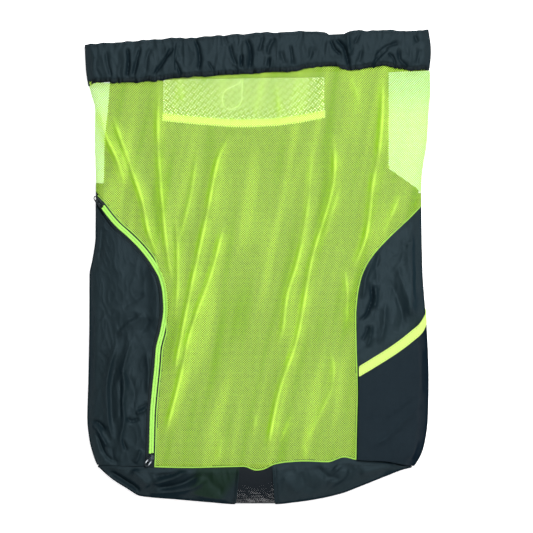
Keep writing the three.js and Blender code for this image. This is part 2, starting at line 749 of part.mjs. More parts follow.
// Sliders and their pulls, built along +X with the pull to the front.
const SLIDER = { length: 10, nose: 8, tail: 6.4, height: 2.6 };
const BAIL = { half: 3.4, bar: 1.2, opening: 2.2, width: 2.2 };
const PULL = { length: 11, width: 6, rim: 1.3, thickness: 1.2 };
const PIVOT_HEIGHT = SLIDER.height + BAIL.opening / 2;
const SLIDERS = [
  { suffix: "top", y: 76.5, way: 1, turn: 0, lift: 0.7 },
  { suffix: "bottom", y: -229, way: -1, turn: -0.6, lift: 0.6 },
];

function asManifold(geometry) {
  const plain = geometry.index ? geometry : merged(geometry);
  const mesh = new wasm.Mesh({
    numProp: 3,
    vertProperties: Float32Array.from(plain.attributes.position.array),
    triVerts: Uint32Array.from(plain.index.array),
  });
  return wasm.Manifold.ofMesh(mesh);
}
function union(first, second) {
  const mesh = asManifold(first).add(asManifold(second)).getMesh();
  const geometry = new THREE.BufferGeometry();
  geometry.setAttribute("position", new THREE.Float32BufferAttribute(mesh.vertProperties, 3));
  geometry.setIndex([...mesh.triVerts]);
  return geometry;
}

function sliderBody() {
  const half = SLIDER.length / 2;
  const outline = [
    [-half, -SLIDER.tail / 2 + 1],
    [-half + 1, -SLIDER.tail / 2],
    [0, -SLIDER.tail / 2],
    [half - 3, -SLIDER.nose / 2],
    [half - 1, -SLIDER.nose / 2],
    [half, -SLIDER.nose / 2 + 1.4],
    [half, SLIDER.nose / 2 - 1.4],
    [half - 1, SLIDER.nose / 2],
    [half - 3, SLIDER.nose / 2],
    [0, SLIDER.tail / 2],
    [-half + 1, SLIDER.tail / 2],
    [-half, SLIDER.tail / 2 - 1],
  ].map(([x, y]) => new THREE.Vector2(x, y));
  const body = plate(outline, 0, SLIDER.height);
  const under = SLIDER.height - 0.4;
  const roof = SLIDER.height + BAIL.opening;
  const inner = BAIL.half - BAIL.bar;
  const arch = [
    [-BAIL.half, under],
    [-inner, under],
    [-inner, roof],
    [inner, roof],
    [inner, under],
    [BAIL.half, under],
    [BAIL.half, roof + 0.4],
    [inner, roof + BAIL.bar],
    [-inner, roof + BAIL.bar],
    [-BAIL.half, roof + 0.4],
  ].map(([x, y]) => new THREE.Vector2(x, y));
  const bail = plate(arch, -BAIL.width / 2, BAIL.width);
  bail.rotateX(Math.PI / 2);
  return union(body, bail);
}

function pullFrame() {
  const near = -PULL.thickness / 2;
  const far = near + PULL.length;
  const half = PULL.width / 2;
  const outline = [
    [near, -half],
    [far - 2, -half],
    [far, -half + 1.8],
    [far, half - 1.8],
    [far - 2, half],
    [near, half],
  ].map(([x, y]) => new THREE.Vector2(x, y));
  const hole = [
    [near + PULL.thickness, -half + PULL.rim],
    [near + PULL.thickness, half - PULL.rim],
    [far - PULL.rim - 1, half - PULL.rim],
    [far - PULL.rim, half - PULL.rim - 0.8],
    [far - PULL.rim, -half + PULL.rim + 0.8],
    [far - PULL.rim - 1, -half + PULL.rim],
  ].map(([x, y]) => new THREE.Vector2(x, y));
  return plate(outline, -PULL.thickness / 2, PULL.thickness, [hole]);
}

// A slider on the zip line: up or down it, turned in the plane of the cloth, and its pull on the bail.
function addSlider({ suffix, y, way, turn, lift }) {
  const place = bodyPoint(zipGirth(y, 0), y);
  const along = bodyPoint(zipGirth(y + 4, 0), y + 4).sub(bodyPoint(zipGirth(y - 4, 0), y - 4));
  const across = bodyPoint(zipGirth(y, 3), y).sub(bodyPoint(zipGirth(y, -3), y));
  const normal = across.cross(along).normalize();
  const heading = along.multiplyScalar(way).applyAxisAngle(normal, turn).normalize();
  const side = normal.clone().cross(heading);
  const slider = new THREE.Group();
  slider.quaternion.setFromRotationMatrix(new THREE.Matrix4().makeBasis(heading, side, normal));
  slider.position.copy(place).addScaledVector(normal, lift);
  slider.add(piece(`zip_slider_${suffix}`, sliderBody(), "metal", { roughness: 0.35, metalness: 1 }));
  const pull = piece(`zip_pull_${suffix}`, pullFrame(), "metal", { roughness: 0.3, metalness: 1 });
  pull.position.z = PIVOT_HEIGHT;
  slider.add(pull);
  bag.add(slider);
}
SLIDERS.forEach(addSlider);

// The part's origin is the middle of its underside.
const box = new THREE.Box3().setFromObject(bag);
const centre = box.getCenter(new THREE.Vector3());
bag.position.set(-centre.x, -centre.y, -box.min.z);
const part = new THREE.Group();
part.name = "mesh_bag";
part.add(bag);

export default part;
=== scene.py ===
import math

import bmesh
import bpy
import numpy as np
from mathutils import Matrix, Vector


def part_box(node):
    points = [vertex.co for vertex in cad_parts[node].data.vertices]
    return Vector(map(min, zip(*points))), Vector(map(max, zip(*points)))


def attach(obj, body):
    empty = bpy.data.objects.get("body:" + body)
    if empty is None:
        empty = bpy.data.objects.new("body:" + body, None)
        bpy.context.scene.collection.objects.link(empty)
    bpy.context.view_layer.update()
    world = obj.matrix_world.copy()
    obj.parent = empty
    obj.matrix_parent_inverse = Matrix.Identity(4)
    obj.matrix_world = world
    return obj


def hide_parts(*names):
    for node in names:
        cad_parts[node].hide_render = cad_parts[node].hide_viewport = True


bl_info = {
    "name": "Mesh Bag Dresser",
    "version": (1, 0, 0),
    "blender": (4, 5, 0),
    "location": "3D View > Sidebar > Mesh Bag",
    "description": "Dresses the packed mesh bag with net, nylon, zip and trim",
    "category": "Object",
}

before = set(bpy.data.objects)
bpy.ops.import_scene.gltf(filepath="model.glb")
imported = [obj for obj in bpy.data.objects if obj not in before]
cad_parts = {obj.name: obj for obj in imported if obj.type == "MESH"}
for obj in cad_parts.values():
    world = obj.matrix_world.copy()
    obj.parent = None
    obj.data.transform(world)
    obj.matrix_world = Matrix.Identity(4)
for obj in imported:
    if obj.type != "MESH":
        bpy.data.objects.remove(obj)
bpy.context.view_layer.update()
BAG = "bag"
MM = 0.001

# Shape of the lying bag in millimetres, its seams within 3 mm of those of its solids.
EDGE_HEIGHT = 8.0
EDGE_DEPTH = 12.0
FULLNESS = 0.6
FRONT_STEPS = 64
EDGE_STEPS = 12
BACK_FOOT = -238.0
SEAM_GAP = 0.6
ZIP_TOP = 80.0
RIGHT_TOP = 71.0
MESH_TURN = 0.45
SIDE_TURN = 0.06
TAPE_OUTER = 6.5
TAPE_INNER = 4.0
ZIP_LAP = 4.2
BINDING_WIDTH = 9.0
FOLD_HEIGHT = 7.0
FOLD_RUNOUT = 34.0
FOLD_CREST = 1.7
FOLD_SLANT = 0.2
BAND_HEM = 6.5
BAND_DROOP = 4.6
BAND_BULGE = 2.6

# Middle and top of the window's solid in these tables, which give their place in the frame.
WINDOW_MIDDLE = -15.9
WINDOW_TOP = 226.0
low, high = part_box("window_mesh")
SHIFT = np.array([(low.x + high.x) / 2 / MM - WINDOW_MIDDLE, high.y / MM - WINDOW_TOP, 0.0])

OUTLINE = [
    # height, left edge, right edge, rise of the front
    (-250, -184, 178, 27),
    (-236, -193, 190.5, 30),
    (-222, -198, 198, 32),
    (-207, -201.6, 201.8, 33),
    (-183, -204, 204.8, 34),
    (-135, -202.8, 205.8, 35),
    (-63, -201.6, 203, 35),
    (-9, -201.4, 199.2, 33),
    (9, -198, 198.6, 32),
    (37, -194.2, 198, 31),
    (80, -194, 197.6, 29),
    (110, -194, 198.6, 27),
    (152, -195, 204.6, 25),
    (188, -194.5, 206.6, 24),
    (210, -200, 208.6, 23),
    (240, -206, 208, 22),
    (286, -208, 207, 20),
]
ZIP_LINE = [
    # height, place across
    (-240, -127.2), (-222, -126.2), (-175, -124.8), (-154, -123.1), (-118, -119.4), (-98, -117.8),
    (-74, -112.1), (-50, -108.9), (-31, -110), (-13, -114.2), (3, -122.7), (21.6, -136.5),
    (36, -150.4), (52, -168), (74, -185.6), (80, -189.8),
]
COIL_ENDS = (-222.0, 70.0)
RIGHT_SEAM = [
    # height, place across
    (-234, 119), (-200, 119.5), (-146, 120.6), (-94, 119.2), (-58, 118.7), (-35, 120.5), (-14, 124.8),
    (0.6, 130.8), (14.4, 139.8), (30, 153.6), (45, 169.2), (59, 184.2), (71, 195.6),
]
BASE_SEAM = [
    # place across, height
    (-195, -237.6), (-160, -238.4), (-80, -240.4), (-38, -239.3), (-16, -238.8), (0, -243.4),
    (8, -242.2), (20, -236.3), (34, -233.6), (56, -232.4), (84, -233.4), (103, -227.6), (119, -230.8),
    (152, -232.6), (182, -238.4), (192, -239.6),
]
BASE_FOLD = [
    # place across, height
    (-192, -239), (-183.6, -247.2), (-170, -258), (-158, -265.4), (-140, -275.6), (-95, -279.8),
    (-56, -283.2), (-26, -285.4), (22, -285.4), (45, -283.2), (70, -279.6), (102, -272.4),
    (121, -265.2), (157, -250.8), (174, -244.2), (188, -240.4),
]
BASE_ENDS = (-191.0, 186.0)
BASE_LENGTH = 110.0
DRAIN_INSET = 0.9
DRAIN_LENGTH = 96.0
DRAIN_REACH = (-36.0, 32.0)
DRAIN_OPEN = -1.2
DRAIN_TOP = (-20.4, 18.0)
DRAIN_FOOT = (-26.0, 21.6)
BAND_FOOT = [
    # place across, height
    (-206, 222), (-160, 221), (-126, 222.2), (-100, 225.8), (-60, 228), (-5, 232.1), (36, 233.4),
    (74, 239.8), (92, 240.6), (114, 235.4), (152, 241.2), (184, 235.6), (208, 236.4),
]
BAND_HEAD = [
    # place across, height
    (-208, 267), (-164, 269.4), (-114, 273.6), (-80, 275), (-19, 279), (16, 281), (70, 282.8),
    (97, 277), (118, 283.4), (156, 283.8), (180, 282.6), (207, 285.6),
]
POCKET_LINE = [
    # place across, height
    (121.5, -126), (138, -116.2), (164.4, -99.6), (182.4, -86.3), (194, -75.6), (202, -63.4),
]
POCKET_END_HEIGHT = -52.0
WINDOW_SIDES = (-112.8, 81.0)
WINDOW_HEADS = (225.6, 228.4)
WINDOW_TURN = 0.14
WINDOW_LINE = [
    # place across, height
    (-114, 180.4), (-68, 175.8), (-20, 172.8), (18, 174), (41, 176.6), (64, 180.4), (83, 184.4),
]
CORNER_LEFT_FOOT = 101.4
CORNER_LEFT_LINE = [
    # height, place of the inner edge across
    (95, -182.4), (150, -181.6), (190, -177.6), (232, -174.4),
]
CORNER_RIGHT_X = 156.0
CORNER_RIGHT_FEET = (89.4, 118.8)
CORNER_RIGHT_REACH = 41.6
SIDE_HEADS = (101.0, 89.0)
LOOP_PATH = [
    # place across, height on the bag, height above the floor
    (-17.2, 227.8, 2.1), (-17.9, 221, 2.5), (-18.4, 212, 2.6), (-18.8, 201, 2.6), (-24.5, 192.5, 2.6),
    (-34, 189.4, 2.6), (-40.9, 195.6, 2.6), (-42.2, 203.3, 2.6), (-37.2, 212.8, 2.6), (-25.5, 219, 2.6),
    (-20.6, 223.2, 2.5), (-19.4, 227.8, 2.1),
]
LOOP_RADIUS = 0.8

MESH_FOLDS = [
    # height of the fold, width, path from its upper end down
    (8, 9, [(-194, 200), (-182.4, 162), (-166.8, 128.4), (-156, 90)]),
    (6, 8, [(-174, 186), (-153, 126), (-136.8, 79.2), (-129.6, 44.4), (-114, 2)]),
    (5, 8, [(-117.2, 222), (-118.2, 164.4), (-115.6, 110.4), (-106.8, 19.2), (-100, -22)]),
    (4, 8, [(-98.4, 66), (-94.1, 19.2), (-94.1, -19.2), (-98.4, -76)]),
    (6, 8, [(-31.2, 160), (-45.6, 129.6), (-58.8, 64.8), (-83.3, -50.4), (-99.6, -135)]),
    (6, 8, [(-37.2, 57.6), (-52.8, -3.6), (-80.4, -82.8), (-91.2, -133), (-110, -205)]),
    (6, 8, [(91.2, 164), (93.6, 122.4), (64.8, 3.6), (48.6, -84), (26.4, -151), (12, -225)]),
    (5, 8, [(61.2, 57.6), (46.8, -1.2), (36, -36), (31.2, -75.6), (21.6, -100)]),
    (6, 9, [(151.4, 236), (150.6, 190), (146.8, 140), (139.8, 103.2), (132, 42), (114, -8)]),
    (4, 8, [(104.4, 5), (108, -31), (106.8, -79)]),
    (4, 7, [(175.2, 100), (164.4, 69.6), (150, 36)]),
    (3, 6, [(44, -170), (37.2, -186), (26.4, -214)]),
    (3, 5, [(56.4, -205), (58.8, -233)]),
    (3, 5, [(0.6, -170), (-6, -204)]),
    (3, 6, [(112, 232), (120, 205), (124, 182)]),
    (3, 5, [(-92, 224), (-90, 190)]),
    (2.5, 6, [(20, 232), (26, 190), (28, 160)]),
    (3, 7, [(66, 150), (62, 80), (49, 8)]),
    (3, 7, [(104, 110), (92, 70), (76, 20)]),
    (3.5, 7, [(96, -130), (82, -162), (52, -222)]),
    (3, 6, [(-42, -196), (-46, -238)]),
    (3, 7, [(86, -92), (92, -120), (88, -160)]),
    (3, 7, [(-70, 150), (-78, 90), (-96, 20)]),
]
# Creases of the nylon as height, width and path in plan. A valley's height is below zero.
BAND_CREASES = [
    (-3.2, 2, [(-156, 264), (-153.6, 250.8), (-154.2, 238.8), (-156, 225.6)]),
    (-2.4, 2, [(-139.2, 265.2), (-142.8, 252), (-145.2, 241.2), (-148.8, 226.8)]),
    (-3.2, 2, [(-102, 264), (-110.4, 248.4), (-118.8, 236.4), (-124.8, 228)]),
    (-2.2, 1.8, [(-99.6, 262.8), (-105.6, 254.4), (-110.4, 250.8)]),
    (-1.6, 1.2, [(-97.8, 270), (-97.8, 250.8), (-97.2, 230.4)]),
    (-3, 2, [(-97.2, 247.2), (-94.8, 238.8), (-90, 228)]),
    (-1.6, 3.5, [(-93.6, 265.2), (-92.4, 250.8)]),
    (-3.4, 2.2, [(-75.6, 274.8), (-69.6, 260.4), (-68.4, 248.4), (-70.8, 232.8)]),
    (-2.2, 1.8, [(-58.8, 246), (-51.6, 234)]),
    (-1.8, 2, [(-38.4, 277.2), (-34.8, 265.2)]),
    (-2.4, 2, [(-32.4, 267.6), (-28.8, 252), (-22.8, 238.8)]),
    (-3, 1.8, [(-18, 255.6), (-19.2, 237.6)]),
    (-3.4, 2.4, [(-14.4, 276), (-8.4, 262.8), (-7.2, 250.8), (-9.6, 235.2)]),
    (-2, 1.8, [(-30, 242.4), (-21.6, 234)]),
    (-2, 2.6, [(8.4, 277.2), (4.8, 265.2), (2.4, 256.8)]),
    (-2.2, 2.6, [(22.8, 276), (15.6, 265.2), (12, 252)]),
    (-2.6, 1.8, [(14.4, 252), (14.4, 237.6)]),
    (-1.6, 2.6, [(27.6, 259.2), (33.6, 242.4)]),
    (-2.2, 2.4, [(39.6, 267.6), (42, 253.2), (43.2, 240)]),
    (-1.6, 3, [(67.2, 265.2), (62.4, 246)]),
    (-3, 2, [(87.6, 273.6), (93.6, 260.4), (102, 253.2)]),
    (-4.2, 2.2, [(92.4, 274.8), (103.2, 264), (108, 250.8), (110.4, 237.6)]),
    (2.4, 3, [(108, 282), (109.2, 267.6), (110.4, 250.8)]),
    (-2, 2, [(124.8, 282), (116.4, 266.4)]),
    (-2.8, 2.2, [(172.8, 270), (156, 264), (145.2, 255.6), (140.4, 248.4)]),
    (-3, 1.9, [(158.4, 262.8), (147.6, 253.2), (140.4, 244.8), (138, 237.6)]),
    (-2.4, 1.8, [(156, 256.8), (163.2, 250.8), (166.8, 241.2)]),
    (-2.6, 2.4, [(169.2, 262.8), (171.6, 248.4), (182.4, 237.6)]),
    (-2, 2.2, [(188.4, 278.4), (193.2, 268.8)]),
    (-1.8, 2.2, [(-181.2, 260.4), (-178.8, 243.6), (-174, 226.8)]),
    (-1.6, 2.4, [(-126, 265.2), (-132, 248.4), (-133.2, 231.6)]),
    (-1.6, 2.4, [(126, 260.4), (121.2, 243.6)]),
    (-1.6, 2.6, [(196.8, 262.8), (190.8, 241.2)]),
]
SIDE_CREASES = [
    (2.6, 3.4, [(-145.2, -79.2), (-152.4, -93.6), (-156.6, -109.2), (-160.2, -123.6), (-157.8, -142.8),
                (-160.2, -159.6), (-158.4, -181.2), (-160.8, -195.6), (-163.8, -207.6), (-160.8, -217.2),
                (-157.8, -226.8)]),
    (2.4, 3.4, [(-166.8, -82.8), (-170.4, -99.6), (-177, -123.6), (-180, -142.8),
                (-178.8, -169.2), (-177.6, -189.6), (-172.8, -202.8), (-175.2, -214.8)]),
    (-2.4, 6.5, [(-166.8, -102), (-171.6, -129.6), (-174.6, -147.6), (-174, -171.6), (-170.4, -198)]),
    (-1.6, 2, [(-163.2, -128.4), (-163.2, -157.2), (-163.2, -186)]),
    (-3, 2.2, [(-200.4, -186), (-194.4, -184.8), (-187.2, -188.4), (-181.2, -196.8)]),
    (2.6, 2.4, [(-199.2, -189.6), (-192, -193.2), (-186, -202.8), (-177.6, -217.2)]),
    (-2.6, 2.6, [(-195.6, -196.8), (-189.6, -205.2), (-184.8, -218.4), (-178.8, -228), (-166.8, -235.2)]),
    (-2.6, 2.2, [(-156, -180), (-150, -184.2), (-140.4, -181.2)]),
    (2, 2, [(-145.2, -175.2), (-138, -172.8), (-130.8, -169.2)]),
    (-1.8, 1.8, [(-144, -170.4), (-135.6, -166.2), (-129.6, -162)]),
    (-2.2, 2, [(-160.8, -205.2), (-158.4, -213.6), (-154.8, -219.6)]),
    (-1.6, 4, [(-156, -126), (-151.2, -135.6), (-146.4, -150), (-147.6, -169.2)]),
    (1.4, 4, [(-132, -55.2), (-152.4, -68.4), (-166.8, -82.8)]),
    (-1.2, 4.5, [(-133.2, -31.2), (-147.6, -39.6), (-162, -50.4)]),
    (-1.2, 4.2, [(-140.4, -55.2), (-157.2, -66), (-168, -78)]),
    (-1.8, 4.5, [(-127.2, -61.2), (-133.2, -70.8), (-138, -80.4)]),
    (2.2, 6, [(-130.8, 6), (-122.4, -15.6), (-118.8, -39.6), (-122.4, -75.6)]),
    (1.8, 2.6, [(-192, 54), (-189.6, 37.2), (-190.8, 18)]),
    (-1.4, 3, [(-184.8, 49.2), (-187.2, 27.6), (-189.6, 6)]),
    (1.6, 5, [(-193.2, -39.6), (-194.4, -75.6), (-195.6, -123.6), (-195.6, -165.6)]),
    (1.6, 2.6, [(-132, -99.6), (-129.6, -126), (-130.8, -153.6)]),
    (-1.8, 3, [(-174, -213.6), (-172.8, -225.6), (-165.6, -236.4)]),
    (2, 2.4, [(-139.2, -217.2), (-141.6, -226.8), (-146.4, -235.2)]),
    (-3.2, 2.2, [(135.6, -15.6), (137.4, -36), (134.4, -48), (130.8, -57), (120, -66)]),
    (1.8, 2.4, [(140.4, -20.4), (142.2, -37.2), (139.2, -51.6)]),
    (-2, 1.8, [(133.2, -68.4), (129.6, -80.4), (124.8, -88.8)]),
    (1.6, 2, [(136.8, -66), (135.6, -82.8), (130.8, -97.2)]),
    (2.4, 6.5, [(183.6, 49.2), (181.2, 18), (184.8, -15.6), (184.8, -45.6), (182.4, -69.6)]),
    (2, 5, [(166.8, 6), (172.8, -15.6), (181.2, -39.6), (183.6, -61.2)]),
    (-2, 5, [(157.2, -13.2), (166.8, -34.8), (174, -58.8), (169.2, -81.6)]),
    (-1.8, 3.4, [(190.8, 49.2), (190.8, 6), (189.6, -37.2)]),
    (-1.4, 3, [(175.2, 24), (184.8, 31.2)]),
    (1.6, 3, [(136.8, 6), (129.6, -15.6), (126, -39.6)]),
    (-1.4, 3, [(147.6, 20.4), (142.8, -1.2), (144, -22.8)]),
    (1.6, 3.5, [(153.6, -39.6), (152.4, -66), (145.2, -93.6)]),
]
POCKET_CREASES = [
    (1.8, 3.6, [(199.2, -162), (176.4, -182.4), (152.4, -205.2), (132, -217.2)]),
    (-1.6, 5, [(193.2, -153.6), (171.6, -171.6), (147.6, -189.6)]),
    (1.8, 5, [(196.8, -93.6), (195.6, -129.6), (198, -157.2)]),
    (-1.4, 5, [(138, -141.6), (142.8, -165.6), (133.2, -189.6)]),
    (1.6, 4, [(193.2, -205.2), (188.4, -219.6), (183.6, -231.6)]),
]
BASE_CREASES = [
    (1.8, 2.6, [(-187.2, -241.2), (-174, -253.2), (-154.8, -264), (-139.2, -273.6)]),
    (-4.6, 3.6, [(-178.6, -243.3), (-160.8, -254.4), (-147.6, -263), (-138.2, -272.4)]),
    (-3.4, 3.4, [(-122, -265.4), (-102, -262.6), (-87.7, -258.5), (-65, -245.8)]),
    (3, 4, [(-132, -271), (-104.4, -269), (-80, -264.6), (-58, -252)]),
    (-2.2, 2.6, [(-124, -251), (-104.4, -247.6), (-92, -244)]),
    (3.2, 3.4, [(-128.4, -259.6), (-112.8, -256), (-98, -251), (-82, -243)]),
    (2.8, 5, [(-150, -241.6), (-139, -252), (-127, -264)]),
    (-1.6, 6, [(-62.4, -246), (-54, -258), (-39.6, -270)]),
    (1.4, 4, [(-80.4, -270), (-56.4, -276), (-32.4, -278.4)]),
    (-2, 3.6, [(68.4, -236.4), (77.5, -244.8), (85.2, -250.8), (92.4, -252.6), (100.8, -250.8)]),
    (1.6, 4, [(82.8, -255.6), (93.6, -256.8), (105.6, -248.4), (108, -238.8)]),
    (2, 4, [(92.4, -238.8), (97.2, -243.6)]),
    (-1.6, 4.6, [(110.4, -234), (111.6, -246), (106.8, -254.4), (94.8, -262.8), (82.8, -272.4)]),
    (2, 6, [(121.2, -248.4), (141.6, -242.4), (165.6, -238.8)]),
    (1.6, 2.6, [(87.6, -273.6), (109.2, -266.4), (130.8, -258), (157.2, -247.2)]),
    (1.4, 6, [(30, -248.4), (39.6, -260.4), (51.6, -272.4)]),
    (-1.4, 6, [(51.6, -243.6), (56.4, -258), (70.8, -267.6)]),
]


def linear(red, green, blue):
    """A screen colour out of 255 as scene linear numbers."""
    def one(value):
        value /= 255.0
        return value / 12.92 if value <= 0.04045 else ((value + 0.055) / 1.055) ** 2.4
    return (one(red), one(green), one(blue))


def length_property(label, text, default):
    """A length in metres."""
    return bpy.props.FloatProperty(name=label, description=text, default=default, unit="LENGTH", precision=5)


def share_property(label, text, default):
    """A share that leaves both thread and hole."""
    return bpy.props.FloatProperty(
        name=label, description=text, default=default, subtype="FACTOR", min=0.2, max=0.9)


def colour_property(label, text, red, green, blue):
    """A colour whose default is a screen colour out of 255."""
    return bpy.props.FloatVectorProperty(
        name=label, description=text, default=linear(red, green, blue), subtype="COLOR")


class MeshBagSizes(bpy.types.PropertyGroup):
    """Sizes of the cloth, net and trim."""
    net_pitch: length_property("Net pitch", "Distance between holes of the net along a row", 0.00275)
    net_hole: share_property("Net hole", "Hole size as a share of its cell", 0.64)
    window_pitch: length_property("Window pitch", "Distance between holes of the window's net", 0.0041)
    window_hole: share_property("Window hole", "Window hole size as a share of its cell", 0.62)
    drain_pitch: length_property("Drain pitch", "Distance between holes of the drain net", 0.0026)
    drain_hole: share_property("Drain hole", "Drain hole size as a share of its cell", 0.41)
    cloth_wall: length_property("Cloth wall", "Thickness of the nylon walls", 0.0009)
    coil_pitch: length_property("Coil pitch", "Distance between turns of the zip's coil", 0.0008)
    stitch_pitch: length_property("Stitch pitch", "Distance between stitches", 0.0036)
    wrinkles: bpy.props.FloatProperty(
        name="Wrinkles", description="How strongly the nylon is crumpled", default=1.0)


class MeshBagColours(bpy.types.PropertyGroup):
    """Colours of the cloth, net and trim."""
    lime: colour_property("Mesh", "Colour of the front's threads", 178, 220, 82)
    # The next two are painted shade beside the folds and painted highlight on their crests.
    lime_painted_shade: colour_property("Mesh folds", "Colour of the threads beside a fold", 140, 198, 10)
    lime_crest: colour_property("Mesh crests", "Colour of the threads on the crest of a fold", 208, 255, 92)
    pale: colour_property("Pale mesh", "Colour of the corner panels", 214, 238, 228)
    nylon: colour_property("Nylon", "Colour of the sides, band and base", 26, 37, 41)
    base: colour_property("Base", "Colour of the base's left half beside the drain", 16, 34, 20)
    pocket: colour_property("Pocket", "Colour of the bottle pocket", 17, 27, 34)
    back: colour_property("Back", "Colour of the back panel seen through the mesh", 70, 80, 86)
    binding: colour_property("Binding", "Colour of the woven binding", 193, 221, 114)
    # Painted light: a lighter copy of the binding's colour for the window's binding.
    window_tape: colour_property("Window binding", "Colour of the window's binding", 236, 252, 165)
    hem: colour_property("Hem", "Colour of the mesh's sewn hem", 168, 222, 92)
    coil: colour_property("Coil", "Colour of the zip's coil", 184, 249, 112)
    net: colour_property("Drain net", "Colour of the drain net", 15, 23, 29)
    cord: colour_property("Loop", "Colour of the hanging loop", 240, 252, 214)
    metal: colour_property("Metal", "Colour of the sliders and pulls", 74, 82, 88)
    floor: colour_property("Floor", "Colour of the floor", 246, 246, 246)


def sizes():
    """The sizes that the sidebar shows."""
    return bpy.context.scene.mesh_bag_sizes


def colours():
    """The colours that the sidebar shows."""
    return bpy.context.scene.mesh_bag_colours


# Curves and the bag's surface.

def mix(start, end, share):
    """A share of the way from a start to an end."""
    return start + (end - start) * share


def smoothstep(value, low, high):
    """A smooth step from 0 to 1 between two values."""
    share = np.clip((value - low) / (high - low), 0.0, 1.0)
    return share * share * (3.0 - 2.0 * share)


def curve_through(rows):
    """A smooth curve through (at, value) rows in rising order, with no overshoot between them."""
    at = np.array([row[0] for row in rows], float)
    value = np.array([row[1] for row in rows], float)
    rise = np.diff(value) / np.diff(at)
    slope = np.zeros(len(at))
    slope[0] = rise[0]
    slope[-1] = rise[-1]
    product = rise[:-1] * rise[1:]
    total = np.where(product > 0, rise[:-1] + rise[1:], 1.0)
    slope[1:-1] = np.where(product > 0, 2.0 * product / total, 0.0)

    def curve(where):
        where = np.asarray(where, float)
        i = np.clip(np.searchsorted(at, where) - 1, 0, len(at) - 2)
        span = at[i + 1] - at[i]
        t = np.clip((where - at[i]) / span, 0.0, 1.0)
        start = value[i] * (1 + 2 * t) + slope[i] * span * t
        end = value[i + 1] * (3 - 2 * t) - slope[i + 1] * span * (1 - t)
        return start * (1 - t) ** 2 + end * t ** 2
    return curve


def stretch(at, first, second, third, fourth):
    """A value that passes its four stops at 0, 1, 2 and 3."""
    parts = [mix(first, second, at), mix(second, third, at - 1)]
    return np.select([at <= 1, at <= 2], parts, mix(third, fourth, at - 2))


left_edge = curve_through([(row[0], row[1]) for row in OUTLINE])
right_edge = curve_through([(row[0], row[2]) for row in OUTLINE])
front_rise = curve_through([(row[0], row[3]) for row in OUTLINE])
zip_x = curve_through(ZIP_LINE)
right_seam_x = curve_through(RIGHT_SEAM)
base_seam = curve_through(BASE_SEAM)
base_fold = curve_through(BASE_FOLD)
band_foot_front = curve_through(BAND_FOOT)
band_head_front = curve_through(BAND_HEAD)
window_line = curve_through(WINDOW_LINE)
corner_left_x = curve_through(CORNER_LEFT_LINE)


def half_sections(y, side):
    """Half the bag's section at each height: place across, height and length along it."""
    left, right, rise = left_edge(y), right_edge(y), front_rise(y)
    middle = ((left + right) / 2)[:, None]
    half = ((right - left) / 2)[:, None]
    side = side[:, None]
    front = np.linspace(0.0, math.pi / 2, FRONT_STEPS + 1)[None, :]
    turn = np.linspace(math.pi / 2, 0.0, EDGE_STEPS + 1)[None, 1:]
    crown = np.maximum(np.cos(front), 0.0) ** FULLNESS
    front_x = middle + side * half * np.sin(front)
    front_z = EDGE_HEIGHT + (rise[:, None] - EDGE_HEIGHT) * crown
    turn_x = middle + side * (half - EDGE_DEPTH * (1 - np.sin(turn)))
    turn_z = np.repeat(EDGE_HEIGHT * (1 - np.cos(turn)), len(y), axis=0)
    x = np.concatenate([front_x, turn_x, middle], axis=1)
    z = np.concatenate([front_z, turn_z, np.zeros_like(middle)], axis=1)
    steps = np.hypot(np.diff(x, axis=1), np.diff(z, axis=1))
    length = np.concatenate([np.zeros_like(middle), np.cumsum(steps, axis=1)], axis=1)
    return x, z, length


CHUNK = 20000


def body(girth, y):
    """Points of the plain bag at girths and heights, and whether each is on the front."""
    girth, y = np.broadcast_arrays(np.asarray(girth, float), np.asarray(y, float))
    shape = girth.shape
    girth, y = girth.ravel(), y.ravel()
    points = np.empty((len(girth), 3))
    on_front = np.empty(len(girth), bool)
    for start in range(0, len(girth), CHUNK):
        part = slice(start, start + CHUNK)
        g, level = girth[part], y[part]
        x, z, length = half_sections(level, np.where(g < 0, -1.0, 1.0))
        reach = np.clip(np.abs(g), 0.0, length[:, -1])
        k = np.clip((reach[:, None] > length).sum(axis=1), 1, length.shape[1] - 1)
        row = np.arange(len(k))
        t = (reach - length[row, k - 1]) / (length[row, k] - length[row, k - 1])
        points[part, 0] = mix(x[row, k - 1], x[row, k], t)
        points[part, 1] = level
        points[part, 2] = mix(z[row, k - 1], z[row, k], t)
        on_front[part] = k <= FRONT_STEPS
    return points.reshape(shape + (3,)), on_front.reshape(shape)


def front_girth(x, y):
    """The girth of places on the front."""
    x, y = np.broadcast_arrays(np.asarray(x, float), np.asarray(y, float))
    shape = x.shape
    x, y = x.ravel(), y.ravel()
    side = np.where(x < (left_edge(y) + right_edge(y)) / 2, -1.0, 1.0)
    across, _, length = half_sections(y, side)
    front = (side[:, None] * across)[:, :FRONT_STEPS + 1]
    k = np.clip(((side * x)[:, None] > front).sum(axis=1), 1, FRONT_STEPS)
    row = np.arange(len(k))
    t = np.clip((side * x - front[row, k - 1]) / (front[row, k] - front[row, k - 1]), 0.0, 1.0)
    return (side * mix(length[row, k - 1], length[row, k], t)).reshape(shape)


def edge_girth(y, side, turn):
    """The girth part of the way round the edge, from the front at 0 to the back seam at 1."""
    y = np.asarray(y, float)
    flat = y.ravel()
    _, _, length = half_sections(flat, np.full(len(flat), float(side)))
    at = FRONT_STEPS + turn * EDGE_STEPS
    k = min(int(at), FRONT_STEPS + EDGE_STEPS - 1)
    return (side * mix(length[:, k], length[:, k + 1], at - k)).reshape(y.shape)


def back_girth(x, y, side):
    """The girth of places on the flat underside."""
    y = np.asarray(y, float)
    flat = y.ravel()
    across, _, length = half_sections(flat, np.full(len(flat), float(side)))
    seam = FRONT_STEPS + EDGE_STEPS
    return (side * (length[:, seam] + np.abs(across[:, seam] - x))).reshape(y.shape)


def slant(line, y):
    """How much wider a slanted seam is cut across than square to it."""
    return np.hypot(1.0, (line(y + 2) - line(y - 2)) / 4)


BEYOND_SLOPE = 1.1


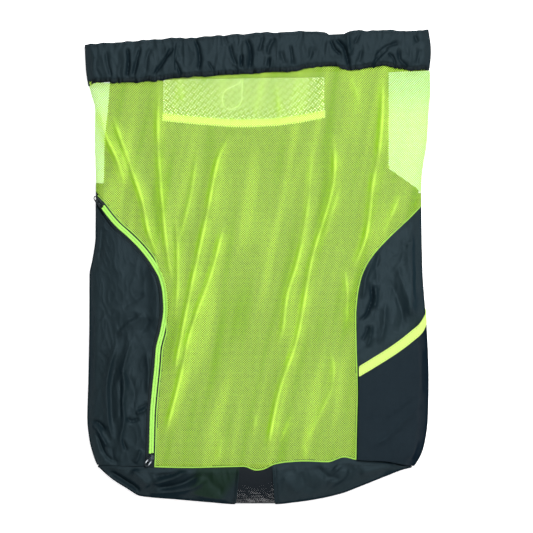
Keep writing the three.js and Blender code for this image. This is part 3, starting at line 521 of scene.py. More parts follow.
def zip_girth(y, offset):
    """The girth at an offset from the zip's line, which runs on outwards above its top."""
    y = np.asarray(y, float)
    at = np.minimum(y, ZIP_TOP)
    beyond = np.maximum(y - ZIP_TOP, 0) * BEYOND_SLOPE
    return front_girth(zip_x(at), at) - beyond + offset * slant(zip_x, at)


def right_girth(y, offset):
    """The girth at an offset from the right seam, which runs on outwards above its top."""
    y = np.asarray(y, float)
    at = np.minimum(y, RIGHT_TOP)
    beyond = np.maximum(y - RIGHT_TOP, 0) * BEYOND_SLOPE
    return front_girth(right_seam_x(at), at) + beyond + offset * slant(right_seam_x, at)


def zip_cover(y):
    """How far the mesh's edge laps over the zip, from 0 to 1."""
    return smoothstep(y, -80.0, -55.0) * (1 - smoothstep(y, -10.0, 14.0))


def net_edge(y, side, side_head):
    """The girth of the net's outer edge, which wraps further round above the nylon sides."""
    share = smoothstep(np.asarray(y, float), side_head + 2, side_head + 10)
    return mix(edge_girth(y, side, 0.0), edge_girth(y, side, MESH_TURN), share)


def mesh_left(y):
    """The mesh's left edge."""
    offset = TAPE_INNER + 0.5 - ZIP_LAP * zip_cover(np.asarray(y, float))
    return np.maximum(zip_girth(y, offset), net_edge(y, -1, SIDE_HEADS[0]))


def mesh_right(y):
    """The mesh's right edge."""
    return np.minimum(right_girth(y, -SEAM_GAP / 2), net_edge(y, 1, SIDE_HEADS[1]))


def side_left(y):
    """The left side's edge at the zip."""
    return np.maximum(zip_girth(y, -TAPE_OUTER - SEAM_GAP), edge_girth(y, -1, SIDE_TURN))


def side_right(y):
    """The right side's edge at its seam with the mesh."""
    return np.minimum(right_girth(y, SEAM_GAP / 2), edge_girth(y, 1, SIDE_TURN))


def straight_between(edge):
    """The straight line between the ends of a table of (place, height) rows."""
    first, last = edge[0], edge[-1]
    return lambda x: mix(first[1], last[1], (x - first[0]) / (last[0] - first[0]))


band_foot_back = straight_between(BAND_FOOT)
band_head_back = straight_between(BAND_HEAD)


def band_edge(front, back):
    """Height by girth along an edge of the band, from its lines on the front and the back."""
    level = back(0.0)

    def edge(girth):
        points, on_front = body(girth, level)
        return np.where(on_front, front(points[..., 0]), back(points[..., 0]))
    return edge


band_foot = band_edge(band_foot_front, band_foot_back)
band_head = band_edge(band_head_front, band_head_back)


def body_foot(girth):
    """The height of the seam above the base."""
    points, _ = body(girth, BACK_FOOT)
    return base_seam(points[..., 0]) + SEAM_GAP / 2


def window_head(x):
    """The window's top edge."""
    return mix(*WINDOW_HEADS, (x - WINDOW_SIDES[0]) / (WINDOW_SIDES[1] - WINDOW_SIDES[0]))


# Folds and wrinkles.

def noise(x, y, seed):
    """Smooth noise from about -1 to 1 that changes over about one unit."""
    xi, yi = np.floor(x), np.floor(y)
    xf, yf = x - xi, y - yi

    def corner(a, b):
        value = np.sin((xi + a) * 127.1 + (yi + b) * 311.7 + seed * 74.7) * 43758.5453
        angle = 2 * math.pi * (value - np.floor(value))
        return np.cos(angle) * (xf - a) + np.sin(angle) * (yf - b)
    u = xf ** 3 * (xf * (6 * xf - 15) + 10)
    v = yf ** 3 * (yf * (6 * yf - 15) + 10)
    low = mix(corner(0, 0), corner(1, 0), u)
    high = mix(corner(0, 1), corner(1, 1), u)
    return 1.5 * mix(low, high, v)


def ridges(x, y, seed):
    """Noise that peaks along thin creases, from 0 to 1."""
    return (1 - np.minimum(np.abs(noise(x, y, seed)), 1)) ** 3


def smooth_path(path, count=14):
    """More points along a path, on a smooth curve through its own."""
    rows = np.array(path, float)
    steps = np.concatenate([[0.0], np.cumsum(np.linalg.norm(np.diff(rows, axis=0), axis=1))])
    at = np.linspace(0.0, steps[-1], count)
    return np.column_stack([curve_through(list(zip(steps, column)))(at) for column in rows.T])


def path_distance(x, y, path):
    """Distance of points from a path, and how far along it they are from 0 to 1."""
    nearest = np.full(x.shape, np.inf)
    along = np.zeros(x.shape)
    for k, (start, end) in enumerate(zip(path, path[1:])):
        way = end - start
        share = np.clip(((x - start[0]) * way[0] + (y - start[1]) * way[1]) / (way @ way), 0.0, 1.0)
        away = np.hypot(x - start[0] - share * way[0], y - start[1] - share * way[1])
        along = np.where(away < nearest, (k + share) / (len(path) - 1), along)
        nearest = np.minimum(nearest, away)
    return nearest, along


def crease_lift(x, y, table, bulge=0.0):
    """The height of a table of creases, with the cloth bulging beside them."""
    lift = np.zeros(x.shape)
    for height, width, path in table:
        away, along = path_distance(x, y, smooth_path(path))
        ends = smoothstep(along, 0.0, 0.2) * (1 - smoothstep(along, 0.8, 1.0))
        lift += height * ends * np.exp(-(away / width) ** 1.5)
        lift += bulge * abs(height) * ends * np.exp(-(away / (3.2 * width)) ** 2)
    return lift


def mesh_folds(x, y):
    """Height of the mesh's folds, and marks for pinched net, painted shade on their steep side and painted
    highlight on their crest, with broad drape bands of both.
    """
    lift = np.zeros(x.shape)
    pinch = np.zeros(x.shape)
    steep = np.zeros(x.shape)
    painted_highlight = np.zeros(x.shape)
    for k, (height, width, path) in enumerate(MESH_FOLDS):
        line = curve_through([(row[1], row[0]) for row in reversed(path)])
        foot, head = path[-1][1], path[0][1]
        run = min(FOLD_RUNOUT, 0.45 * (head - foot))
        ends = smoothstep(y, foot, foot + run) * (1 - smoothstep(y, head - run, head))
        across = x - line(y)
        away = np.abs(across) / width
        profile = 0.6 * np.exp(-(0.75 * away) ** 2) + 0.4 * np.exp(-(3.0 * away) ** 2)
        lift = np.maximum(lift, height * ends * profile)
        strength = ends * min(height / 6, 1.0) * np.clip(0.72 + 0.6 * noise(x / 60, y / 26, k), 0.0, 1.0)
        crest = np.exp(-(across / FOLD_CREST) ** 2)
        side = np.exp(-((across + 0.42 * width) / (0.36 * width)) ** 2)
        slack = np.exp(-((across - 0.5 * width) / (0.6 * width)) ** 2)
        pinch = np.maximum(pinch, strength * np.maximum(np.maximum(crest, 0.55 * side), 0.2 * slack))
        # Painted shade on the steep side of each fold.
        steep = np.maximum(steep, strength * side * (1 - crest))
        # Painted highlight on each fold's crest and its slack side.
        painted_highlight = np.maximum(painted_highlight, strength * np.maximum(crest, 0.32 * slack))
    # Broad bands of painted highlight and painted shade along the drape.
    across = x - FOLD_SLANT * y
    drape = noise(across / 22, y / 170, 31) + 0.7 * noise(across / 11, y / 110, 33)
    painted_highlight = np.maximum(painted_highlight, np.clip(0.9 * drape - 0.1, 0.0, 0.6))
    steep = np.maximum(steep, np.clip(-0.9 * drape - 0.15, 0.0, 0.6))
    # The crest mark is painted highlight.
    return lift, {"pinch": pinch, "steep": steep, "crest": painted_highlight}


def mesh_lift(x, y):
    """Folds and slack of the mesh front."""
    slack = 1.2 * noise(x / 46, y / 90, 3) + 0.4 * noise(x / 17, y / 38, 5)
    return mesh_folds(x, y)[0] + slack


def nylon_lift(x, y, table, seed):
    """Creases, swell and crumple of thin nylon."""
    across = x + 9 * noise(x / 55, y / 70, seed)
    up = y + 14 * noise(x / 60, y / 55, seed + 1)
    swell = 1.5 * noise(across / 34 + up / 160, up / 85, seed + 2)
    crumple = 0.9 * ridges(across / 24 - up / 90, up / 58, seed + 3)
    fine = 0.5 * ridges(across / 9, up / 21 + across / 40, seed + 4)
    creases = 1.6 * crease_lift(x, y, table, 0.25)
    return sizes().wrinkles * (creases + swell + crumple + fine)


def lifted(girth, y, lift, flat_edge=14.0):
    """Points of the bag with a lift added on the front, fading out towards its edges."""
    points, on_front = body(girth, y)
    x = points[..., 0]
    room = np.minimum(x - left_edge(y), right_edge(y) - x)
    hold = np.where(on_front, smoothstep(room, 0.0, flat_edge), 0.0)
    points[..., 2] += hold * lift(x, np.broadcast_to(y, x.shape))
    return points


# Meshes from grids.

def quad_mesh(name, points, quads, cloth=None):
    """A smooth mesh of quads from millimetres, with cloth coordinates as its UV map."""
    mesh = bpy.data.meshes.new(name)
    quads = np.ascontiguousarray(quads, np.int32)
    mesh.vertices.add(len(points))
    mesh.vertices.foreach_set("co", np.ascontiguousarray((points + SHIFT) * MM, np.float32).ravel())
    mesh.loops.add(quads.size)
    mesh.loops.foreach_set("vertex_index", quads.ravel())
    mesh.polygons.add(len(quads))
    mesh.polygons.foreach_set("loop_start", np.arange(0, quads.size, 4, dtype=np.int32))
    mesh.polygons.foreach_set("use_smooth", np.ones(len(quads), bool))
    mesh.update(calc_edges=True)
    if cloth is not None:
        layer = mesh.uv_layers.new(name="cloth")
        spread = np.ascontiguousarray(cloth[quads.ravel()] * MM, np.float32)
        layer.data.foreach_set("uv", spread.ravel())
    mesh.validate()
    return mesh


def grid_quads(rows, columns, ring=False):
    """Quads of a grid with rows and columns of cells."""
    width = columns if ring else columns + 1
    i, j = np.meshgrid(np.arange(rows), np.arange(columns), indexing="ij")
    k = (j + 1) % width if ring else j + 1
    here = i * width
    above = here + width
    return np.stack([here + j, here + k, above + k, above + j], -1).reshape(-1, 4)


def grid_normals(grid, ring=False):
    """Unit normals of a grid of points."""
    if ring:
        along = np.roll(grid, -1, axis=1) - np.roll(grid, 1, axis=1)
    else:
        along = np.gradient(grid, axis=1)
    up = np.gradient(grid, axis=0)
    normal = np.cross(along, up)
    return normal / np.maximum(np.linalg.norm(normal, axis=2, keepdims=True), 1e-9)


def wall(name, grid, cloth, thickness, lift=0.0, ring=False):
    """A closed cloth wall on a grid of points, facing out where the grid reads right to up."""
    rows, width = grid.shape[0] - 1, grid.shape[1]
    columns = width if ring else width - 1
    normal = grid_normals(grid, ring)
    outer = (grid + normal * lift).reshape(-1, 3)
    inner = (grid + normal * (lift - thickness)).reshape(-1, 3)
    inside = len(outer)
    faces = grid_quads(rows, columns, ring)
    parts = [faces, faces[:, ::-1] + inside]
    j = np.arange(columns)
    k = (j + 1) % width if ring else j + 1
    top = rows * width
    parts.append(np.stack([inside + j, inside + k, k, j], -1))
    parts.append(np.stack([top + j, top + k, inside + top + k, inside + top + j], -1))
    if not ring:
        a = np.arange(rows) * width
        b = a + width
        parts.append(np.stack([inside + a, a, b, inside + b], -1))
        a, b = a + columns, b + columns
        parts.append(np.stack([a, inside + a, inside + b, b], -1))
    flat = cloth.reshape(-1, 2)
    mesh = quad_mesh(name, np.vstack([outer, inner]), np.vstack(parts), np.vstack([flat, flat]))
    mesh.set_sharp_from_angle(angle=math.radians(60))
    return mesh


def panel_grid(left, right, foot, head, columns, rows, spread=None):
    """Girths and heights over a panel between two side seams and two end seams."""
    u = np.linspace(0.0, 1.0, columns + 1)
    v = np.linspace(0.0, 1.0, rows + 1)
    if spread is not None:
        u = spread(u)

    def seam_girth(seam):
        y = mix(float(foot(0.0)), float(head(0.0)), v)
        for _ in range(8):
            y = mix(foot(seam(y)), head(seam(y)), v)
        return seam(y)
    girth = mix(seam_girth(left)[:, None], seam_girth(right)[:, None], u[None, :])
    return girth, mix(foot(girth), head(girth), v[:, None])


def level(height):
    """An end seam at one height."""
    return lambda girth: np.full(np.shape(girth), height)


def grid_area(grid):
    """Area of a grid of points in square metres."""
    a = grid[1:, 1:] - grid[:-1, :-1]
    b = grid[1:, :-1] - grid[:-1, 1:]
    return 0.5 * np.linalg.norm(np.cross(a, b), axis=2).sum() * MM * MM


def add_object(name, mesh, material):
    """An object at the origin with one material."""
    piece = bpy.data.objects.new(name, mesh)
    bpy.context.scene.collection.objects.link(piece)
    mesh.materials.clear()
    mesh.materials.append(material)
    return piece


def finish_piece(piece, slot, *nodes, body_name=BAG):
    """Attaches a finished piece to its body and hides the nodes it replaces."""
    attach(piece, body_name)
    if nodes:
        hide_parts(*nodes)
    return piece


# Materials.

class Field:
    """A shader socket that takes part in Python sums."""

    def __init__(self, finish, socket):
        self.finish = finish
        self.socket = socket

    def sum(self, operation, first, second):
        """A Math node's result for fields or numbers."""
        return self.finish.node("ShaderNodeMath", {"operation": operation}, first, second)

    def __add__(self, other):
        return self.sum("ADD", self, other)

    def __sub__(self, other):
        return self.sum("SUBTRACT", self, other)

    def __rsub__(self, other):
        return self.sum("SUBTRACT", other, self)

    def __mul__(self, other):
        return self.sum("MULTIPLY", self, other)

    __radd__ = __add__
    __rmul__ = __mul__

    def wave(self):
        """The sine of this value."""
        return self.finish.node("ShaderNodeMath", {"operation": "SINE"}, self)

    def limited(self):
        """This value kept from 0 to 1."""
        return self.finish.node("ShaderNodeClamp", {}, self)


class Finish:
    """One procedural material on a main shader."""

    def __init__(self, name, **constants):
        self.material = bpy.data.materials.new(name)
        self.material.use_nodes = True
        self.tree = self.material.node_tree
        self.shader = self.tree.nodes["Principled BSDF"]
        for socket, value in constants.items():
            self.shader.inputs[socket.replace("_", " ")].default_value = value

    def put(self, socket, value):
        """Links a field to a socket, or sets its value."""
        if isinstance(value, Field):
            self.tree.links.new(value.socket, socket)
        else:
            socket.default_value = value

    def node(self, kind, settings, *inputs, output=0, **named):
        """A node with its settings, then its sockets' values or links, and one of its outputs."""
        made = self.tree.nodes.new(kind)
        for key, value in settings.items():
            setattr(made, key, value)
        for socket, value in zip(made.inputs, inputs):
            self.put(socket, value)
        for key, value in named.items():
            self.put(made.inputs[key.replace("_", " ")], value)
        return Field(self, made.outputs[output])

    def feed(self, socket, value):
        """Links or sets one of the main shader's sockets."""
        self.put(self.shader.inputs[socket], value)

    def place(self):
        """The place on the piece, in metres."""
        return self.node("ShaderNodeTexCoord", {}, output=3)

    def plan(self):
        """The places across and up the bag, in metres."""
        place = self.place()
        return [self.node("ShaderNodeSeparateXYZ", {}, place, output=axis) for axis in (0, 1)]

    def cloth(self):
        """The two cloth coordinates of a piece, in metres."""
        uv = self.node("ShaderNodeUVMap", {"uv_map": "cloth"})
        return [self.node("ShaderNodeSeparateXYZ", {}, uv, output=axis) for axis in (0, 1)]

    def grain(self, scale, detail, roughness=0.55):
        """Noise over the piece."""
        return self.node("ShaderNodeTexNoise", {}, Vector=self.place(), Scale=scale, Detail=detail,
                         Roughness=roughness)

    def blend(self, share, first, second):
        """A colour between two."""
        mixed = self.tree.nodes.new("ShaderNodeMix")
        mixed.data_type = "RGBA"
        self.put(mixed.inputs[0], share)
        self.put(mixed.inputs[6], first if isinstance(first, Field) else (*first, 1.0))
        self.put(mixed.inputs[7], second if isinstance(second, Field) else (*second, 1.0))
        return Field(self, mixed.outputs[2])

    def matte_below(self, share, colour):
        """Mixes in a matte shader of one colour where the share is below 1."""
        matte = self.tree.nodes.new("ShaderNodeBsdfPrincipled")
        matte.inputs["Base Color"].default_value = (*colour, 1.0)
        matte.inputs["Roughness"].default_value = 1.0
        matte.inputs["Specular IOR Level"].default_value = 0.0
        mixed = self.tree.nodes.new("ShaderNodeMixShader")
        self.put(mixed.inputs[0], share)
        self.tree.links.new(matte.outputs[0], mixed.inputs[1])
        self.tree.links.new(self.shader.outputs[0], mixed.inputs[2])
        self.tree.links.new(mixed.outputs[0], self.tree.nodes["Material Output"].inputs[0])

    def bump(self, height, strength, distance):
        """Fine relief on the main shader's normal."""
        relief = self.node("ShaderNodeBump", {}, Height=height, Strength=strength, Distance=distance)
        self.feed("Normal", relief)


def shade(colour, factor):
    """A colour made darker or lighter by a factor."""
    return tuple(min(1.0, channel * factor) for channel in colour)


def waves(value, period):
    """Waves along a coordinate, one every period in metres."""
    return (value * (2 * math.pi / period)).wave()


def knit_finish(name, colour, glow=0.0, painted_shade_colour=None, painted_highlight_colour=None):
    """Knitted thread with a twisted surface and an optional painted glow, with painted shade on the sides
    and painted highlight on the crests of folds.
    """
    # The glow is painted light in the thread's own colour.
    finish = Finish(name, Roughness=0.62, Specular_IOR_Level=0.16, Emission_Strength=glow)
    finish.shader.inputs["Emission Color"].default_value = (*colour, 1.0)
    u, v = finish.cloth()
    tone = finish.grain(140.0, 3.0)
    thread = finish.blend(tone, shade(colour, 0.86), shade(colour, 1.08))
    if painted_shade_colour is not None:
        # Painted shade and painted highlight from the marks laid on the net.
        for mark, tint in (("steep", painted_shade_colour), ("crest", painted_highlight_colour)):
            share = finish.node("ShaderNodeAttribute", {"attribute_name": mark}, output=2)
            thread = finish.blend(share, thread, tint)
    finish.feed("Base Color", thread)
    twist = waves(u + v, 0.00042) * 0.5 + waves(u - v, 0.00055) * 0.5
    finish.bump(twist, 0.25, 0.0002)
    return finish.material


NYLON_GLOSS = (0.62, 0.86, 1.0, 1.0)
# Tint of the painted shade on slopes.
NYLON_SLOPE_SHADE = (0.9, 1.02, 1.12)
NYLON_SHADES = (0.72, 1.34)
# Strength of the painted shade along a hem, and how fast it fades.
HEM_SHADE = 0.15
HEM_FADE = 1.8
# The other colour on the base runs from the start to a stop that leans with height, and fades over the
# soft width, in metres.
PATCH_START = -0.084
PATCH_STOP = 0.1514
PATCH_LEAN = 0.7
PATCH_SOFT = 0.012


def nylon_finish(name, colour, pitch=0.0, hem=0.0, patch=None):
    """Light woven nylon, close mesh where it has a pitch of holes, painted shade along a hem and on slopes,
    greener in part.
    """
    finish = Finish(name, Specular_IOR_Level=0.2, Specular_Tint=NYLON_GLOSS)
    u, v = finish.cloth()
    weave = waves(u, 0.0006) * waves(v, 0.0006)
    crinkle = finish.grain(95.0, 5.0, 0.6)
    cloud = finish.grain(16.0, 3.0)
    share = cloud * 0.7 + crinkle * 0.3
    height = weave * 0.06 + crinkle * 0.4
    if pitch:
        holes = waves(u + v, pitch) * waves(u - v, pitch)
        share = (share + holes * 0.4).limited()
        height = height + holes * 0.3
    tint = finish.blend(share, *[shade(colour, factor) for factor in NYLON_SHADES])
    # Painted shade along the hem at the foot of the piece.
    if hem:
        fold = (HEM_FADE - v * (HEM_FADE / hem) + (crinkle - 0.5) * 1.2).limited()
        tint = finish.blend(fold, tint, shade(colour, HEM_SHADE))
    # A greener patch over part of the piece, bounded across and leaning with height.
    if patch is not None:
        across, up = finish.plan()
        start = ((across - PATCH_START) * (1 / PATCH_SOFT) + (cloud - 0.5) * 2.0).limited()
        stop = ((up * PATCH_LEAN + PATCH_STOP - across) * (1 / PATCH_SOFT) + 0.5).limited()
        patched = finish.blend(share, *[shade(patch, factor) for factor in NYLON_SHADES])
        tint = finish.blend(start * stop, tint, patched)
    finish.feed("Base Color", tint)
    finish.feed("Roughness", crinkle * 0.2 + 0.38)
    finish.bump(height, 0.5, 0.0012)
    # Painted shade: slopes turn matte and bluer, without their reflection.
    normal = finish.node("ShaderNodeTexCoord", {}, output=1)
    rise = finish.node("ShaderNodeSeparateXYZ", {}, normal, output=2)
    slope_shade = tuple(channel * part for channel, part in zip(colour, NYLON_SLOPE_SHADE))
    finish.matte_below((rise * 3.4 - 2.0).limited(), slope_shade)
    return finish.material


def tape_finish(name, colour, rib=0.0011, glow=0.0):
    """Woven tape with ribs across its length, and a painted glow in its own colour."""
    finish = Finish(name, Roughness=0.58, Specular_IOR_Level=0.14, Emission_Strength=glow)
    finish.shader.inputs["Emission Color"].default_value = (*colour, 1.0)
    u, v = finish.cloth()
    ribs = waves(u, rib) * 0.5 + 0.5
    selvage = waves(v, 0.0008) * 0.5 + 0.5
    tone = finish.grain(120.0, 3.0)
    share = (ribs * 0.55 + tone * 0.45).limited()
    finish.feed("Base Color", finish.blend(share, shade(colour, 0.84), shade(colour, 1.05)))
    finish.bump(ribs * 0.8 + selvage * 0.3, 0.5, 0.0003)
    return finish.material


def plastic_finish(name, colour):
    """Moulded zip coil."""
    finish = Finish(name, Roughness=0.38)
    tone = finish.grain(300.0, 2.0)
    finish.feed("Base Color", finish.blend(tone, shade(colour, 0.9), shade(colour, 1.06)))
    finish.bump(tone, 0.15, 0.0001)
    return finish.material


# Colour, reach and fade of a painted glint.
GLINT_COLOUR = (0.78, 0.84, 0.9)
GLINT_REACH = 0.0042
GLINT_FADE = 2.2


def metal_finish(name, colour, worn=None):
    """Plated die casting with light wear, and a painted glint, pale and less metallic, round a given point.
    """
    finish = Finish(name, Metallic=1.0)
    wear = finish.grain(420.0, 5.0, 0.65)
    tint = finish.blend(wear, shade(colour, 0.6), shade(colour, 1.25))
    # A painted glint round the point.
    if worn is not None:
        away = finish.node("ShaderNodeVectorMath", {"operation": "DISTANCE"}, finish.place(), worn,
                           output=1)
        glint = (GLINT_FADE - away * (GLINT_FADE / GLINT_REACH) + (wear - 0.5) * 1.5).limited()
        tint = finish.blend(glint, tint, GLINT_COLOUR)
        finish.feed("Metallic", 1.0 - glint * 0.8)
    finish.feed("Base Color", tint)
    finish.feed("Roughness", wear * 0.25 + 0.2)
    finish.bump(wear, 0.12, 0.0001)
    return finish.material


def cord_finish(name, colour):
    """Braided elastic cord with a painted glow in its own colour."""
    finish = Finish(name, Roughness=0.6, Specular_IOR_Level=0.3, Emission_Strength=0.75)
    finish.shader.inputs["Emission Color"].default_value = (*colour, 1.0)
    x, y = finish.plan()
    braid = waves(x + y, 0.0011) * waves(x - y, 0.0011)
    share = (braid * 0.5 + 0.5).limited()
    finish.feed("Base Color", finish.blend(share, shade(colour, 0.8), shade(colour, 1.05)))
    finish.bump(braid, 0.5, 0.0003)
    return finish.material


def floor_finish(name, colour, glow):
    """Seamless paper with a glow of its own."""
    finish = Finish(name, Roughness=0.9, Specular_IOR_Level=0.2, Emission_Strength=glow)
    tone = finish.grain(9.0, 2.0)
    paper = finish.blend(tone, shade(colour, 0.985), colour)
    finish.feed("Base Color", paper)
    finish.feed("Emission Color", paper)
    return finish.material


FINISHES = {}


def box_middle(node):
    """The middle of a node's box in the frame."""
    low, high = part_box(node)
    return tuple((low + high) / 2)


def finish_for(name):
    """Materials by finish, each made once."""
    if name not in FINISHES:
        tint = colours()
        makers = {
            # Painted light: the mesh glows slightly in its own colour.
            "mesh": lambda: knit_finish("lime_mesh", tint.lime, 0.05, tint.lime_painted_shade, tint.lime_crest),
            "window": lambda: knit_finish("window_mesh", shade(tint.lime, 0.62)),
            # Painted light: the corner panels glow.
            "pale": lambda: knit_finish("pale_mesh", tint.pale, 0.43),
            "nylon": lambda: nylon_finish("dark_nylon", tint.nylon),
            "band": lambda: nylon_finish("band_nylon", tint.nylon, hem=BAND_HEM * MM),
            # Painted light: the right side is a lighter copy of the nylon.
            "right_nylon": lambda: nylon_finish("right_nylon", shade(tint.nylon, 1.15)),
            # Painted shade: the base's left half is a darker copy of the nylon, greener in part.
            "base": lambda: nylon_finish("base_nylon", shade(tint.nylon, 0.9), patch=tint.base),
            "pocket": lambda: nylon_finish("pocket_mesh", tint.pocket, 0.0028),
            "back": lambda: nylon_finish("back_nylon", tint.back),
            # Painted light: the binding glows in its own colour.
            "binding": lambda: tape_finish("lime_binding", tint.binding, glow=0.3),
            # Painted light: the window's binding is a lighter copy of the binding, and it glows.
            "window_tape": lambda: tape_finish("window_tape", tint.window_tape, glow=0.45),
            "hem": lambda: tape_finish("lime_hem", tint.hem, 0.0009),
            "tape": lambda: tape_finish("zip_tape", tint.nylon, 0.0008),
            "coil": lambda: plastic_finish("zip_coil", tint.coil),
            "net": lambda: knit_finish("drain_net", tint.net),
            # Painted light: the loop glows.
            "cord": lambda: cord_finish("loop_cord", tint.cord),
            "metal": lambda: metal_finish("plated_metal", tint.metal),
            # Painted light: a glint on the bottom pull.
            "worn": lambda: metal_finish("worn_metal", tint.metal, box_middle("zip_pull_bottom")),
            "dark_thread": lambda: tape_finish("dark_thread", shade(tint.nylon, 0.8), 0.0006),
            "lime_thread": lambda: tape_finish("lime_thread", shade(tint.binding, 0.8), 0.0006),
            "floor": lambda: floor_finish("floor_paper", tint.floor, 0.75),
        }
        FINISHES[name] = makers[name]()
    return FINISHES[name]


# Geometry Nodes trees.

class Tree:
    """A Geometry Nodes tree with named inputs."""

    def __init__(self, name, inputs):
        self.group = bpy.data.node_groups.new(name, "GeometryNodeTree")
        face = self.group.interface
        face.new_socket("Geometry", in_out="INPUT", socket_type="NodeSocketGeometry")
        for label, kind, default in inputs:
            socket = face.new_socket(label, in_out="INPUT", socket_type=kind)
            if default is not None:
                socket.default_value = default
        face.new_socket("Geometry", in_out="OUTPUT", socket_type="NodeSocketGeometry")
        self.source = self.group.nodes.new("NodeGroupInput")
        self.sink = self.group.nodes.new("NodeGroupOutput")

    def named(self, label):
        """One of the tree's inputs."""
        return self.source.outputs[label]

    def put(self, socket, value):
        """Links another socket to a socket, or sets its value."""
        if isinstance(value, bpy.types.NodeSocket):
            self.group.links.new(value, socket)
        else:
            socket.default_value = value

    def node(self, kind, settings=None, **sockets):
        """A node with its settings, then its sockets' values or links."""
        made = self.group.nodes.new(kind)
        for key, value in (settings or {}).items():
            setattr(made, key, value)
        for key, value in sockets.items():
            self.put(made.inputs[key.replace("_", " ")], value)
        return made

    def math(self, operation, *values):
        """A math node's result for sockets or numbers."""
        made = self.node("ShaderNodeMath", {"operation": operation})
        for socket, value in zip(made.inputs, values):
            self.put(socket, value)
        return made.outputs[0]

    def end(self, geometry, material):
        """Realized instances with their material as the tree's result."""
        real = self.node("GeometryNodeRealizeInstances", Geometry=geometry)
        dressed = self.node("GeometryNodeSetMaterial", Geometry=real.outputs[0], Material=material)
        self.group.links.new(dressed.outputs[0], self.sink.inputs[0])
        return self.group


# The pinch at which a hole is shut.
FULL_PINCH = 1.25


def net_tree():
    """Opens a hole in the middle of every cell of a lattice, smaller where the net is pinched."""
    tree = Tree("net_holes", [
        ("Hole Size", "NodeSocketFloat", 0.6), ("Thread", "NodeSocketMaterial", None)])
    inset = tree.node("GeometryNodeExtrudeMesh", {"mode": "FACES"}, Mesh=tree.named("Geometry"),
                      Offset_Scale=0.0, Individual=True)
    pinch = tree.node("GeometryNodeInputNamedAttribute", {"data_type": "FLOAT"}, Name="pinch")
    share = tree.math("MULTIPLY_ADD", pinch.outputs[0], -1 / FULL_PINCH, 1.0)
    scale = tree.math("MULTIPLY", tree.named("Hole Size"), share)
    shrink = tree.node("GeometryNodeScaleElements", {"domain": "FACE"}, Geometry=inset.outputs["Mesh"],
                       Selection=inset.outputs["Top"], Scale=scale)
    holes = tree.node("GeometryNodeDeleteGeometry", {"domain": "FACE"}, Geometry=shrink.outputs[0],
                      Selection=inset.outputs["Top"])
    return tree.end(holes.outputs[0], tree.named("Thread"))


def stitch_tree():
    """Lays a stitch every pitch along each line of the mesh."""
    tree = Tree("stitch_rows", [
        ("Pitch", "NodeSocketFloat", 0.0036), ("Length", "NodeSocketFloat", 0.0026),
        ("Thickness", "NodeSocketFloat", 0.0005), ("Thread", "NodeSocketMaterial", None)])
    line = tree.node("GeometryNodeMeshToCurve", Mesh=tree.named("Geometry"))
    points = tree.node("GeometryNodeCurveToPoints", {"mode": "LENGTH"}, Curve=line.outputs[0],
                       Length=tree.named("Pitch"))
    bead = tree.node("GeometryNodeMeshUVSphere", Segments=6, Rings=4, Radius=0.5)
    size = tree.node("ShaderNodeCombineXYZ", X=tree.named("Thickness"), Y=tree.named("Thickness"),
                     Z=tree.named("Length"))
    turn = tree.node("FunctionNodeAlignRotationToVector", {"axis": "Z"}, Vector=points.outputs["Tangent"])
    laid = tree.node("GeometryNodeInstanceOnPoints", Points=points.outputs["Points"],
                     Instance=bead.outputs[0], Rotation=turn.outputs[0], Scale=size.outputs[0])
    return tree.end(laid.outputs[0], tree.named("Thread"))


TURN_OVERLAP = 2.4


def coil_tree():
    """Lays the turns of a zip's coil along a line, leaning left and right by turns."""
    tree = Tree("coil_turns", [
        ("Pitch", "NodeSocketFloat", 0.0015), ("Width", "NodeSocketFloat", 0.0034),
        ("Height", "NodeSocketFloat", 0.0016), ("Lean", "NodeSocketFloat", 0.85),
        ("Plastic", "NodeSocketMaterial", None)])
    line = tree.node("GeometryNodeMeshToCurve", Mesh=tree.named("Geometry"))
    points = tree.node("GeometryNodeCurveToPoints", {"mode": "LENGTH"}, Curve=line.outputs[0],
                       Length=tree.named("Pitch"))
    up = tree.node("GeometryNodeInputNamedAttribute", {"data_type": "FLOAT_VECTOR"}, Name="up")
    first = tree.node("FunctionNodeAlignRotationToVector", {"axis": "Y"}, Vector=points.outputs["Tangent"])
    turn = tree.node("FunctionNodeAlignRotationToVector", {"axis": "Z", "pivot_axis": "Y"},
                     Rotation=first.outputs[0], Vector=up.outputs[0])
    tooth = tree.node("GeometryNodeMeshUVSphere", Segments=8, Rings=5, Radius=0.5)
    thin = tree.math("MULTIPLY", tree.named("Pitch"), TURN_OVERLAP)
    size = tree.node("ShaderNodeCombineXYZ", X=tree.named("Width"), Y=thin, Z=tree.named("Height"))
    laid = tree.node("GeometryNodeInstanceOnPoints", Points=points.outputs["Points"],
                     Instance=tooth.outputs[0], Rotation=turn.outputs[0], Scale=size.outputs[0])
    index = tree.node("GeometryNodeInputIndex")
    parity = tree.math("PINGPONG", index.outputs[0], 1.0)
    lean = tree.math("MULTIPLY", tree.math("SUBTRACT", parity, 0.5), tree.named("Lean"))
    shift = tree.node("ShaderNodeCombineXYZ", X=lean)
    moved = tree.node("GeometryNodeTranslateInstances", Instances=laid.outputs[0],
                      Translation=shift.outputs[0], Local_Space=True)
    return tree.end(moved.outputs[0], tree.named("Plastic"))


TREES = {}


